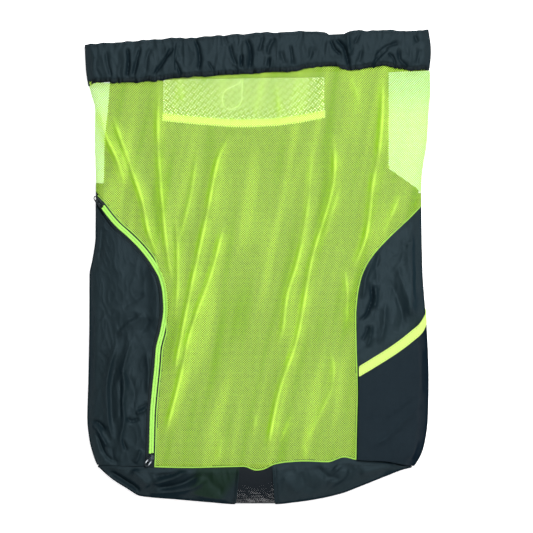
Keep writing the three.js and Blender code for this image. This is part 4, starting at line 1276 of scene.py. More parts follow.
def grown(name, mesh, maker, material, **inputs):
    """The plain mesh object that a Geometry Nodes tree makes from a mesh."""
    if maker not in TREES:
        TREES[maker] = maker()
    group = TREES[maker]
    carrier = bpy.data.objects.new(name + "_carrier", mesh)
    bpy.context.scene.collection.objects.link(carrier)
    modifier = carrier.modifiers.new("grow", "NODES")
    modifier.node_group = group
    for item in group.interface.items_tree:
        key = getattr(item, "name", "").replace(" ", "_")
        if item.in_out == "INPUT" and key in inputs:
            modifier[item.identifier] = inputs[key]
        elif item.in_out == "INPUT" and item.socket_type == "NodeSocketMaterial":
            modifier[item.identifier] = material
    graph = bpy.context.evaluated_depsgraph_get()
    result = bpy.data.meshes.new_from_object(carrier.evaluated_get(graph), depsgraph=graph)
    result.name = name
    bpy.data.objects.remove(carrier)
    piece = bpy.data.objects.new(name, result)
    bpy.context.scene.collection.objects.link(piece)
    return piece


def lattice(name, inside, surface, across, along, pitch, chosen=None, marks=None):
    """A mesh of the chosen slanted cells whose corners are all inside a region, laid on a surface."""
    half = pitch / 2
    i = np.arange(math.floor(across[0] / half), math.ceil(across[1] / half) + 1)
    j = np.arange(math.floor(along[0] / half), math.ceil(along[1] / half) + 1)
    ii, jj = np.meshgrid(i, j, indexing="ij")
    u, v = ii * half, jj * half
    good = inside(u, v)
    hole = (ii + jj) % 2 == 0
    full = np.zeros_like(good)
    full[1:-1, 1:-1] = (hole[1:-1, 1:-1] & good[:-2, 1:-1] & good[2:, 1:-1]
                        & good[1:-1, :-2] & good[1:-1, 2:])
    if chosen is not None:
        full &= chosen(u, v)
    a, b = np.nonzero(full)
    middle = a * len(j) + b
    corners = np.stack([middle - len(j), middle - 1, middle + len(j), middle + 1], -1)
    used, index = np.unique(corners, return_inverse=True)
    flat_u, flat_v = u.ravel()[used], v.ravel()[used]
    points = surface(flat_u, flat_v)
    mesh = quad_mesh(name, points, index.reshape(-1, 4), np.column_stack([flat_u, flat_v]))
    if marks is not None:
        for key, values in marks(points, flat_u, flat_v).items():
            layer = mesh.attributes.new(key, "FLOAT", "POINT")
            layer.data.foreach_set("value", np.ascontiguousarray(values, np.float32))
    return mesh


def line_mesh(name, lines, ups=None):
    """A mesh of open lines, with an optional direction away from the cloth at each point."""
    mesh = bpy.data.meshes.new(name)
    points = (np.vstack(lines) + SHIFT) * MM
    edges = []
    start = 0
    for line in lines:
        edges += [(start + k, start + k + 1) for k in range(len(line) - 1)]
        start += len(line)
    mesh.from_pydata(points.tolist(), edges, [])
    if ups is not None:
        layer = mesh.attributes.new("up", "FLOAT_VECTOR", "POINT")
        layer.data.foreach_set("vector", np.ascontiguousarray(np.vstack(ups), np.float32).ravel())
    return mesh


def close_left(u):
    """Shares that lie closer together towards 0."""
    return u ** 1.5


def close_right(u):
    """Shares that lie closer together towards 1."""
    return 1 - (1 - u) ** 1.5


# Pieces.

PHOTO_SIZE = 533
MM_PER_PIXEL = 1.2
CAMERA_TARGET = (11.4, 0.6, 15.0)
CAMERA_DISTANCE = 3.2
SENSOR = 36.0
FAR_CLIP = 30.0
FLOOR_REACH = 3.0
FLOOR_LEVEL = -0.0006
SKY_STRENGTH = 0.16
LIGHTS = [
    # name, place, side of its square, power
    ("key", (0.6, 1.25, 3.3), 1.6, 132.0),
    ("fill", (0.6, -1.7, 2.2), 1.6, 22.0),
]


def add_light(name, place, size, energy):
    """A square light that faces the middle of the bag."""
    lamp = bpy.data.lights.new(name, "AREA")
    lamp.shape = "SQUARE"
    lamp.size = size
    lamp.energy = energy
    light = bpy.data.objects.new(name, lamp)
    bpy.context.scene.collection.objects.link(light)
    light.location = place
    x, y, z = place
    light.rotation_euler = (math.atan2(math.hypot(x, y), z), 0.0, math.atan2(x, -y))


class MESHBAG_OT_stage(bpy.types.Operator):
    """Floor, studio light and the camera above the lying bag"""
    bl_idname = "mesh_bag.stage"
    bl_label = "Stage"

    def execute(self, context):
        scene = context.scene
        floor = bpy.data.meshes.new("floor")
        corners = [(-FLOOR_REACH, -FLOOR_REACH), (FLOOR_REACH, -FLOOR_REACH), (FLOOR_REACH, FLOOR_REACH),
                   (-FLOOR_REACH, FLOOR_REACH)]
        floor.from_pydata([(x, y, FLOOR_LEVEL) for x, y in corners], [], [(0, 1, 2, 3)])
        add_object("floor", floor, finish_for("floor"))
        world = bpy.data.worlds.new("studio")
        scene.world = world
        world.use_nodes = True
        sky = world.node_tree.nodes["Background"]
        sky.inputs["Color"].default_value = (1.0, 1.0, 1.0, 1.0)
        sky.inputs["Strength"].default_value = SKY_STRENGTH
        for light in LIGHTS:
            add_light(*light)
        scene.view_settings.view_transform = "Standard"
        camera = bpy.data.cameras.new("camera")
        camera.sensor_width = SENSOR
        span = PHOTO_SIZE * MM_PER_PIXEL * MM
        camera.lens = SENSOR * CAMERA_DISTANCE / span
        camera.clip_end = FAR_CLIP
        eye = bpy.data.objects.new("camera", camera)
        scene.collection.objects.link(eye)
        x, y, z = (np.array(CAMERA_TARGET) + SHIFT) * MM
        eye.location = (x, y, z + CAMERA_DISTANCE)
        scene.camera = eye
        return {"FINISHED"}


class MESHBAG_OT_hanging_loop(bpy.types.Operator):
    """Elastic loop caught in the window's top seam"""
    bl_idname = "mesh_bag.hanging_loop"
    bl_label = "Hanging loop"

    def execute(self, context):
        path = smooth_path(LOOP_PATH, 40) + SHIFT
        curve = bpy.data.curves.new("hanging_loop", "CURVE")
        curve.dimensions = "3D"
        curve.bevel_depth = LOOP_RADIUS * MM
        curve.bevel_resolution = 3
        curve.use_fill_caps = True
        spline = curve.splines.new("POLY")
        spline.points.add(len(path) - 1)
        for point, place in zip(spline.points, path * MM):
            point.co = (*place, 1.0)
        curve.materials.append(finish_for("cord"))
        piece = bpy.data.objects.new("hanging_loop_cord", curve)
        context.scene.collection.objects.link(piece)
        finish_piece(piece, "cord", "hanging_loop")
        length = np.linalg.norm(np.diff(path, axis=0), axis=1).sum() * MM
        return {"FINISHED"}


def mesh_surface(girth, y):
    """Points of the mesh front, raised where its edge laps over the zip."""
    points = lifted(girth, y, mesh_lift)
    beside = np.maximum(points[..., 0] - zip_x(np.minimum(y, ZIP_TOP)), 0.0)
    points[..., 2] += (0.9 + 1.9 * zip_cover(y)) * np.exp(-(beside / 9) ** 2)
    return points


MESH_LAP = 1.5
# Strengths of painted highlight over the corner panels, of painted shade at the right corner's top, and of
# painted highlight over the window's binding.
CORNER_HIGHLIGHT = 0.7
CORNER_SHADED = 0.6
TAPE_HIGHLIGHT = 0.9


def mesh_head(girth):
    """The height of the mesh's top edge, under the band."""
    return band_foot(girth) + MESH_LAP


def mesh_marks(points, girth, y):
    """Marks of the folds, with painted highlight on the threads over the corner panels, less towards the
    band, and over the window's binding, and painted shade at the top of the right corner.
    """
    x, height = points[:, 0], points[:, 1]
    marks = mesh_folds(x, height)[1]
    fall = CORNER_RIGHT_FEET[1] - CORNER_RIGHT_FEET[0]
    run = np.maximum(x - CORNER_RIGHT_X, 0.0)
    foot = CORNER_RIGHT_FEET[1] - run * fall / (right_edge(height) - CORNER_RIGHT_X)
    left = (x < corner_left_x(height)) & (height > CORNER_LEFT_FOOT)
    right = (x > CORNER_RIGHT_X) & (height > foot)
    # Painted highlight on the threads over the corner panels, weaker towards the band.
    corner_highlight = np.where(left | right, CORNER_HIGHLIGHT, 0.0) * (1 - 0.65 * smoothstep(height, 170.0, 215.0))
    # Painted highlight on the threads over the window's binding.
    bound = (x > WINDOW_SIDES[0]) & (x < WINDOW_SIDES[1])
    tape = bound & (np.abs(height - window_line(x)) < 0.5 * BINDING_WIDTH)
    marks["crest"] = np.maximum(marks["crest"], np.where(tape, TAPE_HIGHLIGHT, corner_highlight))
    # Painted shade at the top of the right corner, under the band.
    shaded = np.where(right, CORNER_SHADED * smoothstep(height, 180.0, 222.0), 0.0)
    marks["steep"] = np.maximum(marks["steep"], shaded)
    return marks


NET_MARGIN = 0.2
NET_GIRTHS = (-236.0, 236.0)
NET_HEIGHTS = (-250.0, 245.0)
HEM_WIDTH = 1.4
HEM_WALL = 0.5
HEM_LIFT = 0.3
RIGHT_FOOT = -233.0


def inside_mesh(girth, y):
    """Whether places are between the seams of the mesh."""
    sides = (girth > mesh_left(y) + NET_MARGIN) & (girth < mesh_right(y) - NET_MARGIN)
    return sides & (y > body_foot(girth) + NET_MARGIN) & (y < mesh_head(girth) - NET_MARGIN)


class MESHBAG_OT_front_mesh(bpy.types.Operator):
    """Knitted front in two halves of the net, and its sewn hem"""
    bl_idname = "mesh_bag.front_mesh"
    bl_label = "Front mesh"

    def execute(self, context):
        size = sizes()
        pitch = size.net_pitch / MM
        halves = [
            ("front_net_left", lambda girth, y: girth < 0.0),
            ("front_net_right", lambda girth, y: girth >= 0.0),
        ]
        girth, y = panel_grid(mesh_left, mesh_right, body_foot, mesh_head, 60, 60)
        area = grid_area(mesh_surface(girth, y))
        nets = []
        for name, half in halves:
            cells = lattice(name, inside_mesh, mesh_surface, NET_GIRTHS, NET_HEIGHTS, pitch, half,
                            mesh_marks)
            net = grown(name, cells, net_tree, finish_for("mesh"), Hole_Size=size.net_hole)
            nets.append(finish_piece(net, "mesh", "front_mesh"))
        hem = add_object("front_hem", self.hems(), finish_for("hem"))
        finish_piece(hem, "mesh", "front_mesh")
        solid = 1.0 - size.net_hole ** 2
        for net, sewn in zip(nets, ([hem], [])):
            float(area * solid / 2)
        return {"FINISHED"}

    def hems(self):
        """Strips along the side and foot seams of the mesh."""
        rows = np.linspace(0.0, 1.0, 170)
        low = float(body_foot(mesh_left(BACK_FOOT)))
        heights = mix(low, ZIP_TOP + 6.0, rows)
        right_low = float(body_foot(mesh_right(RIGHT_FOOT)))
        right_heights = mix(right_low, RIGHT_TOP + 4.0, rows)
        width = np.linspace(0.0, 1.0, 3)[None, :]
        strips = []
        slope = slant(zip_x, np.minimum(heights, ZIP_TOP))[:, None]
        girth = mesh_left(heights)[:, None] + width * HEM_WIDTH * slope
        strips.append((girth, np.broadcast_to(heights[:, None], girth.shape)))
        slope = slant(right_seam_x, np.minimum(right_heights, RIGHT_TOP))[:, None]
        girth = mesh_right(right_heights)[:, None] - (1 - width) * HEM_WIDTH * slope
        strips.append((girth, np.broadcast_to(right_heights[:, None], girth.shape)))
        along = np.linspace(float(mesh_left(low)), float(mesh_right(right_low)), 150)[None, :]
        y = body_foot(along) + np.linspace(0.0, HEM_WIDTH, 3)[:, None]
        strips.append((np.broadcast_to(along, y.shape), y))
        grids = [(mesh_surface(g, y), np.stack([g, y], -1)) for g, y in strips]
        return joined_walls("front_hem", grids, HEM_WALL, HEM_LIFT)


def joined_walls(name, grids, thickness, lift):
    """One mesh of several closed walls."""
    pieces = [wall(name, grid, cloth, thickness, lift) for grid, cloth in grids]
    objects = [bpy.data.objects.new(name, mesh) for mesh in pieces]
    for made in objects:
        bpy.context.scene.collection.objects.link(made)
    with bpy.context.temp_override(active_object=objects[0], selected_editable_objects=objects):
        bpy.ops.object.join()
    mesh = objects[0].data
    bpy.data.objects.remove(objects[0])
    return mesh


# Heights of the back's foot, the window's sill and head and the back's head, as a first guess.
BACK_LEVELS = (BACK_FOOT, 176.0, 224.0, 231.0)
BACK_COLUMNS = (12, 40, 20)
BACK_ROWS = (70, 12, 3)
BACK_REST = 2.8
BACK_INSET = 9.0
BACK_CORNER_INSET = 3.0
BACK_LAP = 3.0
WINDOW_DEPTH = 46.0
WINDOW_LEVEL = 200.0
WINDOW_REST = 1.2
WINDOW_SPANS = ((-130.0, 100.0), (-60.0, 60.0))
RIBBON_REST = 5.0
RIBBON_WALL = 0.8


def stops(counts):
    """Numbers that rise by one over each count of steps in turn."""
    return np.concatenate([[0.0]] + [k + np.linspace(0, 1, count + 1)[1:] for k, count in enumerate(counts)])


class MESHBAG_OT_back(bpy.types.Operator):
    """Nylon back with its mesh window and the bound edge under it"""
    bl_idname = "mesh_bag.back"
    bl_label = "Back and window"

    def execute(self, context):
        size = sizes()
        self.panel(size, self.binding())
        self.window(size)
        return {"FINISHED"}

    def panel(self, size, ribbon):
        """The back with its cut-out, on a grid whose lines follow the window's edges."""
        columns, rows = stops(BACK_COLUMNS), stops(BACK_ROWS)
        cc, rr = np.meshgrid(columns, rows)
        y = stretch(rr, *BACK_LEVELS)
        feet = CORNER_RIGHT_FEET
        for _ in range(4):
            run = np.clip((feet[1] - y) / (feet[1] - feet[0]), 0, 1)
            outer = right_edge(y) - mix(BACK_INSET, BACK_CORNER_INSET, smoothstep(y, 76.0, 86.0))
            right = np.minimum(CORNER_RIGHT_X + 2.5 + run * CORNER_RIGHT_REACH, outer)
            left = left_edge(y) + BACK_INSET
            left = np.where(y > CORNER_LEFT_FOOT + 2.0, np.maximum(left, corner_left_x(y) - 2.0), left)
            x = stretch(cc, left, *WINDOW_SIDES, right)
            sill = window_line(np.clip(x, *WINDOW_SIDES))
            y = stretch(rr, BACK_FOOT + SEAM_GAP, sill, window_head(x), band_foot_back(x) + BACK_LAP)
        z = BACK_REST + 0.5 * np.abs(noise(x / 50, y / 60, 21)) + 0.6 * ridges(x / 44, y / 52, 23)
        grid = np.stack([x, y, z], -1)
        mesh = wall("back_cloth", grid, np.stack([x, y], -1), size.cloth_wall / MM)
        across = np.floor(columns[:-1]) == 1
        up = np.floor(rows[:-1]) == 1
        self.cut(mesh, (up[:, None] & across[None, :]).ravel())
        piece = add_object("back_cloth", mesh, finish_for("back"))
        finish_piece(piece, "nylon", "back_panel")
        area = grid_area(grid) - (WINDOW_SIDES[1] - WINDOW_SIDES[0]) * WINDOW_DEPTH * MM * MM

    def cut(self, mesh, window):
        """Takes the window's cells out of both skins of the wall."""
        work = bmesh.new()
        work.from_mesh(mesh)
        work.faces.ensure_lookup_table()
        gone = np.flatnonzero(np.concatenate([window, window])).tolist()
        bmesh.ops.delete(work, geom=[work.faces[k] for k in gone], context="FACES")
        rim = [edge for edge in work.edges if edge.is_boundary]
        bmesh.ops.bridge_loops(work, edges=rim)
        work.to_mesh(mesh)
        work.free()

    def window(self, size):
        """The coarse net in the cut-out, a little turned."""
        pitch = size.window_pitch / MM
        cos, sin = math.cos(WINDOW_TURN), math.sin(WINDOW_TURN)

        def plan(u, v):
            return u * cos - v * sin, u * sin + v * cos + WINDOW_LEVEL

        def inside(u, v):
            x, y = plan(u, v)
            sides = (x > WINDOW_SIDES[0] - 2) & (x < WINDOW_SIDES[1] + 2)
            return sides & (y > window_line(x) - 3) & (y < window_head(x) + 2)

        def surface(u, v):
            x, y = plan(u, v)
            return np.stack([x, y, np.full_like(x, WINDOW_REST)], -1)
        cells = lattice("window_net", inside, surface, *WINDOW_SPANS, pitch)
        net = grown("window_net", cells, net_tree, finish_for("window"), Hole_Size=size.window_hole)
        finish_piece(net, "mesh", "window_mesh")

    def binding(self):
        """The bound edge along the window's sill."""
        x = np.linspace(WINDOW_SIDES[0] - 1, WINDOW_SIDES[1] + 1, 90)
        across = np.linspace(-0.5, 0.5, 7) * BINDING_WIDTH
        xx, aa = np.meshgrid(x, across)
        yy = window_line(xx) + aa
        zz = RIBBON_REST - 0.5 * (aa / BINDING_WIDTH * 2) ** 4 + 0.3 * noise(xx / 22, yy / 9, 41)
        mesh = wall("window_ribbon", np.stack([xx, yy, zz], -1), np.stack([xx, aa], -1), RIBBON_WALL)
        ribbon = add_object("window_ribbon", mesh, finish_for("window_tape"))
        return finish_piece(ribbon, "binding", "window_binding")


CORNER_WALL = 0.7
CORNER_LIFT = -0.5


class MESHBAG_OT_corners(bpy.types.Operator):
    """Pale panels at the upper corners"""
    bl_idname = "mesh_bag.corners"
    bl_label = "Corner panels"

    def execute(self, context):
        def head(girth):
            return band_foot(girth) - SEAM_GAP

        def right_foot(girth):
            edge = edge_girth(CORNER_RIGHT_FEET[0], 1, SIDE_TURN)
            inner = back_girth(CORNER_RIGHT_X, CORNER_RIGHT_FEET[1], 1)
            return mix(*CORNER_RIGHT_FEET, np.clip((girth - edge) / (inner - edge), 0, 1))
        girth, y = panel_grid(lambda h: back_girth(corner_left_x(h), h, -1),
                              lambda h: edge_girth(h, -1, SIDE_TURN),
                              level(CORNER_LEFT_FOOT), head, 20, 60)
        self.panel("corner_cloth_left", girth, y, "corner_panel_left", (0.036, 0.13))
        girth, y = panel_grid(lambda h: edge_girth(h, 1, SIDE_TURN),
                              lambda h: back_girth(CORNER_RIGHT_X, h, 1),
                              right_foot, head, 24, 60)
        self.panel("corner_cloth_right", girth, y, "corner_panel_right", (0.062, 0.145))
        return {"FINISHED"}

    def panel(self, name, girth, y, node, flat):
        """One pale panel, slack by a little noise."""
        grid, _ = body(girth, y)
        grid[..., 2] += 0.4 + 0.8 * np.abs(noise(grid[..., 0] / 30, y / 40, 51))
        mesh = wall(name, grid, np.stack([girth, y], -1), CORNER_WALL, CORNER_LIFT)
        piece = add_object(name, mesh, finish_for("pale"))
        finish_piece(piece, "pale_mesh", node)
        float(grid_area(grid))


def side_surface(girth, y):
    """Points of the crumpled sides."""
    return lifted(girth, y, lambda x, h: nylon_lift(x, h, SIDE_CREASES, 61))


SIDE_CELLS = (150, 240)


class MESHBAG_OT_sides(bpy.types.Operator):
    """Crumpled nylon sides that wrap from front to back"""
    bl_idname = "mesh_bag.sides"
    bl_label = "Nylon sides"

    def execute(self, context):
        thickness = sizes().cloth_wall / MM
        panels = [
            ("side_cloth_left", "side_panel_left", lambda h: edge_girth(h, -1, 1), side_left,
             SIDE_HEADS[0], close_left, "nylon"),
            ("side_cloth_right", "side_panel_right", side_right, lambda h: edge_girth(h, 1, 1),
             SIDE_HEADS[1], close_right, "right_nylon"),
        ]
        for name, node, left, right, head, spread, finish in panels:
            girth, y = panel_grid(left, right, body_foot, level(head), *SIDE_CELLS, spread)
            grid = side_surface(girth, y)
            mesh = wall(name, grid, np.stack([girth, y], -1), thickness)
            piece = add_object(name, mesh, finish_for(finish))
            finish_piece(piece, "nylon", node)
            float(grid_area(grid))
        return {"FINISHED"}


POCKET_LIFT = 4.8
POCKET_WALL_LIFT = 0.6
POCKET_EDGE_TURN = 0.4
POCKET_LINE_TURN = 0.45
TAPE_LIFT = 0.9
TAPE_WALL = 1.1
# Shares of the pocket's bound edge between which the binding narrows towards the back.
POCKET_TAPER = (0.66, 0.8)


def pocket_line():
    """The pocket's bound edge as height by girth, and its two ends."""
    rows = [(float(front_girth(x, y)), y) for x, y in POCKET_LINE]
    rows.append((float(edge_girth(POCKET_END_HEIGHT, 1, POCKET_LINE_TURN)), POCKET_END_HEIGHT))
    return curve_through(rows), (rows[0][0], rows[-1][0])


def pocket_tape(girth, ends):
    """Lower and upper edges of the pocket's binding, measured across from its line."""
    wide = np.interp((girth - ends[0]) / (ends[1] - ends[0]), POCKET_TAPER, (1.0, 0.0))
    return -0.5 * BINDING_WIDTH + 0.3 * wide, 0.5 * BINDING_WIDTH + 2.1 * wide


def pocket_lift(x, y):
    """Swell and crumple of the bottle pocket over the side."""
    return POCKET_LIFT + 0.6 * nylon_lift(x, y, POCKET_CREASES, 71)


class MESHBAG_OT_pocket(bpy.types.Operator):
    """Bottle pocket and its bound edge"""
    bl_idname = "mesh_bag.pocket"
    bl_label = "Bottle pocket"

    def execute(self, context):
        line, ends = pocket_line()
        girth, y = panel_grid(lambda h: right_girth(h, 1.0), lambda h: edge_girth(h, 1, POCKET_EDGE_TURN),
                              lambda g: body_foot(g) + 0.4, lambda g: line(g) - 0.2 * BINDING_WIDTH,
                              70, 110, close_right)
        grid = lifted(girth, y, pocket_lift)
        cloth = np.stack([girth, y], -1)
        mesh = wall("pocket_cloth", grid, cloth, sizes().cloth_wall / MM, POCKET_WALL_LIFT)
        piece = add_object("pocket_cloth", mesh, finish_for("pocket"))
        finish_piece(piece, "pocket_nylon", "bottle_pocket")
        area = float(grid_area(grid))
        along = mix(ends[0], ends[1], close_right(np.linspace(0, 1, 80)))
        gg, share = np.meshgrid(along, np.linspace(0, 1, 9))
        aa = mix(*pocket_tape(gg, ends), share)
        run = (line(gg + 1) - line(gg - 1)) / 2
        height = line(gg) + aa * np.hypot(1.0, run)
        grid = lifted(gg, height, lambda x, h: pocket_lift(x, h) + TAPE_LIFT)
        mesh = wall("pocket_ribbon", grid, np.stack([gg * 1.2, aa], -1), TAPE_WALL, TAPE_LIFT)
        ribbon = add_object("pocket_ribbon", mesh, finish_for("binding"))
        finish_piece(ribbon, "binding", "pocket_binding")
        return {"FINISHED"}


def zip_surface(offset, y, lift):
    """Points on the zip's tape and their outward directions."""
    girth = zip_girth(y, offset)
    points = lifted(girth, y, mesh_lift)
    ahead = lifted(zip_girth(y + 1.5, offset), y + 1.5, mesh_lift)
    beside = lifted(zip_girth(y, offset + 1.5), y, mesh_lift)
    normal = np.cross(beside - points, ahead - points)
    normal /= np.linalg.norm(normal, axis=-1, keepdims=True)
    return points + normal * lift, normal


ZIP_WALL = 0.8
ZIP_LIFT = -0.2
COIL_LIFT = 0.9
ZIP_NARROW = 0.6
ZIP_NARROW_FROM = 40.0
SLIDER_RADIUS = 0.45
PULL_RADIUS = 0.3


class MESHBAG_OT_zip(bpy.types.Operator):
    """Zip tape, coil, sliders and pulls"""
    bl_idname = "mesh_bag.zip"
    bl_label = "Zip"

    def execute(self, context):
        y = np.linspace(BACK_FOOT - 1.0, ZIP_TOP + 3.0, 170)[:, None]
        offset = np.linspace(-TAPE_OUTER, TAPE_INNER, 9)[None, :]
        offsets = offset * mix(1.0, ZIP_NARROW, smoothstep(y, ZIP_NARROW_FROM, ZIP_TOP))
        heights = np.broadcast_to(y, offsets.shape)
        grid, _ = zip_surface(offsets, heights, ZIP_LIFT)
        mesh = wall("zip_cloth", grid, np.stack([heights, offsets], -1), ZIP_WALL)
        tape = finish_piece(add_object("zip_cloth", mesh, finish_for("tape")), "nylon", "zip_tape")
        float(grid_area(grid))
        rows = np.linspace(COIL_ENDS[0], COIL_ENDS[1] + 2, 260)
        points, normals = zip_surface(np.zeros_like(rows), rows, COIL_LIFT)
        line = line_mesh("zip_turns", [points], [normals])
        coil = grown("zip_turns", line, coil_tree, finish_for("coil"), Pitch=sizes().coil_pitch)
        finish_piece(coil, "coil", "zip_coil")
        for suffix, body_name, finish in (("top", "top_pull", "metal"), ("bottom", "bottom_pull", "worn")):
            self.rounded("zip_slider_" + suffix, BAG, SLIDER_RADIUS, "metal")
            self.rounded("zip_pull_" + suffix, body_name, PULL_RADIUS, finish)
        return {"FINISHED"}

    def rounded(self, node, body_name, radius, finish):
        """A casting like the node's solid, with rounded edges."""
        work = bmesh.new()
        work.from_mesh(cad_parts[node].data)
        bmesh.ops.remove_doubles(work, verts=work.verts, dist=2e-6)
        bmesh.ops.dissolve_limit(work, angle_limit=0.02, verts=work.verts, edges=work.edges)
        sharp = [edge for edge in work.edges if edge.calc_face_angle(0.0) > 0.4]
        bmesh.ops.bevel(work, geom=sharp, offset=radius * MM, segments=2, profile=0.6, affect="EDGES",
                        clamp_overlap=True)
        bmesh.ops.triangulate(work, faces=work.faces)
        mesh = bpy.data.meshes.new(node + "_cast")
        work.to_mesh(mesh)
        work.free()
        mesh.shade_smooth()
        mesh.set_sharp_from_angle(angle=math.radians(40))
        piece = add_object(node + "_cast", mesh, finish_for(finish))
        finish_piece(piece, "metal", node, body_name=body_name)


# Shares of the base's cut length on the front and round the fold. The rest lies on the floor.
BASE_FRONT = 0.55
BASE_TURN = 0.27
BASE_CELLS = (150, 80)
FOLD_DEPTH = 9.0


def base_points(x, v):
    """Points of the base, from the front seam at 0 down to the fold and back along the floor at 1."""
    seam = base_seam(x) - SEAM_GAP / 2
    tip = np.clip(0.5 + 0.25 * (BASE_ENDS[1] - x), 0.5, 3.0)
    fold = np.minimum(base_fold(x), seam - tip)
    top, _ = body(front_girth(x, seam), seam)
    depth = np.minimum(FOLD_DEPTH, 0.45 * (seam - fold))
    floor = BASE_FRONT + BASE_TURN
    down = (1 - np.clip(v / BASE_FRONT, 0, 1)) * math.pi / 2
    under = np.clip((v - BASE_FRONT) / BASE_TURN, 0, 1) * math.pi / 2
    along = np.maximum((v - floor) / (1 - floor), 0)
    where = [v <= BASE_FRONT, v <= floor]
    y = np.select(where, [mix(seam, fold, np.cos(down)), fold + depth * (1 - np.cos(under))],
                  mix(fold + depth, BACK_FOOT + 5.0, along))
    z = np.select(where, [mix(FOLD_HEIGHT, top[..., 2], np.sin(down)), FOLD_HEIGHT * (1 - np.sin(under))])
    return np.stack([x, y, z], -1)


def base_lift(points, v):
    """Creases and crumple of the base's front."""
    hold = smoothstep(v, 0.0, 0.05) * (1 - smoothstep(v, 0.42, 0.56))
    x = points[..., 0]
    left, right = drain_sides(v)
    hems = drain_hem(left - x) + drain_hem(x - right)
    return hold * (nylon_lift(x, points[..., 1], BASE_CREASES, 81) + hems)


def drain_hem(gap):
    """Turned edge beside the drain and the groove behind it, for a distance from the edge in mm."""
    return 1.3 * np.exp(-((gap - 0.8) / 1.4) ** 2) - 0.6 * np.exp(-((gap - 4.2) / 1.1) ** 2)


def drain_sides(v):
    """The drain's left and right edges, which spread towards the fold."""
    share = np.clip(v * 2, 0, 1)
    return mix(DRAIN_TOP[0], DRAIN_FOOT[0], share), mix(DRAIN_TOP[1], DRAIN_FOOT[1], share)


def base_surface(x, v):
    """Points of the crumpled base."""
    points = base_points(x, v)
    points[..., 2] += base_lift(points, v)
    return points


class MESHBAG_OT_base(bpy.types.Operator):
    """Folded nylon base and its drain net"""
    bl_idname = "mesh_bag.base"
    bl_label = "Base"

    def execute(self, context):
        size = sizes()
        v = np.linspace(0.0, 1.0, BASE_CELLS[1])[:, None]
        left, right = drain_sides(v)
        u = 0.5 - 0.5 * np.cos(np.linspace(0.0, math.pi, BASE_CELLS[0]))[None, :]
        gap = SEAM_GAP / 2
        panels = [
            ("base_cloth_left", "base_left", np.full_like(v, BASE_ENDS[0]), left - gap, "base"),
            ("base_cloth_right", "base_right", right + gap, np.full_like(v, BASE_ENDS[1]), "nylon"),
        ]
        for name, node, start, stop, cloth in panels:
            x = mix(stop, start, u)
            vv = np.broadcast_to(v, x.shape)
            grid = base_surface(x, vv)
            mesh = wall(name, grid, np.stack([x, vv * BASE_LENGTH], -1), size.cloth_wall / MM)
            piece = add_object(name, mesh, finish_for(cloth))
            finish_piece(piece, "nylon", node)
            float(grid_area(grid))
        self.drain(size)
        return {"FINISHED"}

    def drain(self, size):
        """The net between the base's halves, streaked with wider holes and nearly shut at its seam."""
        pitch = size.drain_pitch / MM

        def inside(x, along):
            v = along / DRAIN_LENGTH
            left, right = drain_sides(v)
            return (x > left - 4) & (x < right + 4) & (v > -0.06) & (v < 1.08)

        def surface(x, along):
            v = along / DRAIN_LENGTH
            points = base_points(x, v)
            points[..., 1] += DRAIN_LENGTH * np.maximum(-v, 0)
            points[..., 1] += DRAIN_INSET * smoothstep(v, 0.3, 0.5) * (1 - smoothstep(v, 0.75, 0.85))
            points[..., 2] += DRAIN_INSET * (smoothstep(v, 0.7, 0.85) - 1 + smoothstep(v, 0.4, 0.6))
            return points

        def closed(points, x, along):
            v = along / DRAIN_LENGTH
            streaks = 0.5 + 0.9 * noise((x + along) / 26, (x - along) / 7, 87)
            streaks = np.minimum(streaks + 0.5 * smoothstep(v, 0.36, 0.48), FULL_PINCH)
            front = mix(FULL_PINCH, streaks, smoothstep(v, 0.12, 0.32))
            under = mix(1.0, DRAIN_OPEN, smoothstep(v, 0.6, 0.66))
            under = mix(under, FULL_PINCH, smoothstep(v, 0.88, 0.93))
            return {"pinch": np.where(v < 0.56, front, under)}
        span = (-0.1 * DRAIN_LENGTH, 1.1 * DRAIN_LENGTH)
        cells = lattice("drain_cloth", inside, surface, DRAIN_REACH, span, pitch, marks=closed)
        cells.flip_normals()
        net = grown("drain_cloth", cells, net_tree, finish_for("net"), Hole_Size=size.drain_hole)
        finish_piece(net, "drain_net", "drain_panel")


BAND_STEPS = {"front": 520, "edge": 14, "back": 40}
BAND_ROWS = 40
BAND_WIDTH = 46.0
BAND_WALL = 1.6


def band_girths():
    """Girths round the mouth band, from the middle of the back through the front."""
    at = float(band_foot_back(0.0))
    edge = {side: float(edge_girth(at, side, 0)) for side in (-1, 1)}
    seam = {side: float(edge_girth(at, side, 1)) for side in (-1, 1)}
    reach = {side: float(back_girth(0.0, at, side)) for side in (-1, 1)}
    half = BAND_STEPS["back"] // 2
    return np.concatenate([
        np.linspace(reach[-1], seam[-1], half, endpoint=False),
        np.linspace(seam[-1], edge[-1], BAND_STEPS["edge"], endpoint=False),
        np.linspace(edge[-1], edge[1], BAND_STEPS["front"], endpoint=False),
        np.linspace(edge[1], seam[1], BAND_STEPS["edge"], endpoint=False),
        np.linspace(seam[1], reach[1], half, endpoint=False),
    ])


def band_lift(x, y, v):
    """Puffs and creases of the mouth band."""
    puff = 1.5 * np.sin(math.pi * np.clip(v, 0, 1)) ** 0.5
    across = x + 3 * noise(x / 20, y / 20, 90)
    crumple = 1.1 * noise(across / 11, y / 30, 91) + 0.9 * ridges(across / 11, y / 26 + x / 50, 92)
    fine = 0.5 * noise(across / 4.5, y / 20, 94)
    ruffle = 0.8 * noise(x / 2.8, y / 14, 93) * (1 - smoothstep(v, 0.06, 0.2))
    hems = 0.8 * np.exp(-((v - 0.09) / 0.025) ** 2) + 0.6 * np.exp(-((v - 0.94) / 0.02) ** 2)
    return puff + crumple + fine + ruffle - hems + 1.5 * crease_lift(x, y, BAND_CREASES, 0.3)


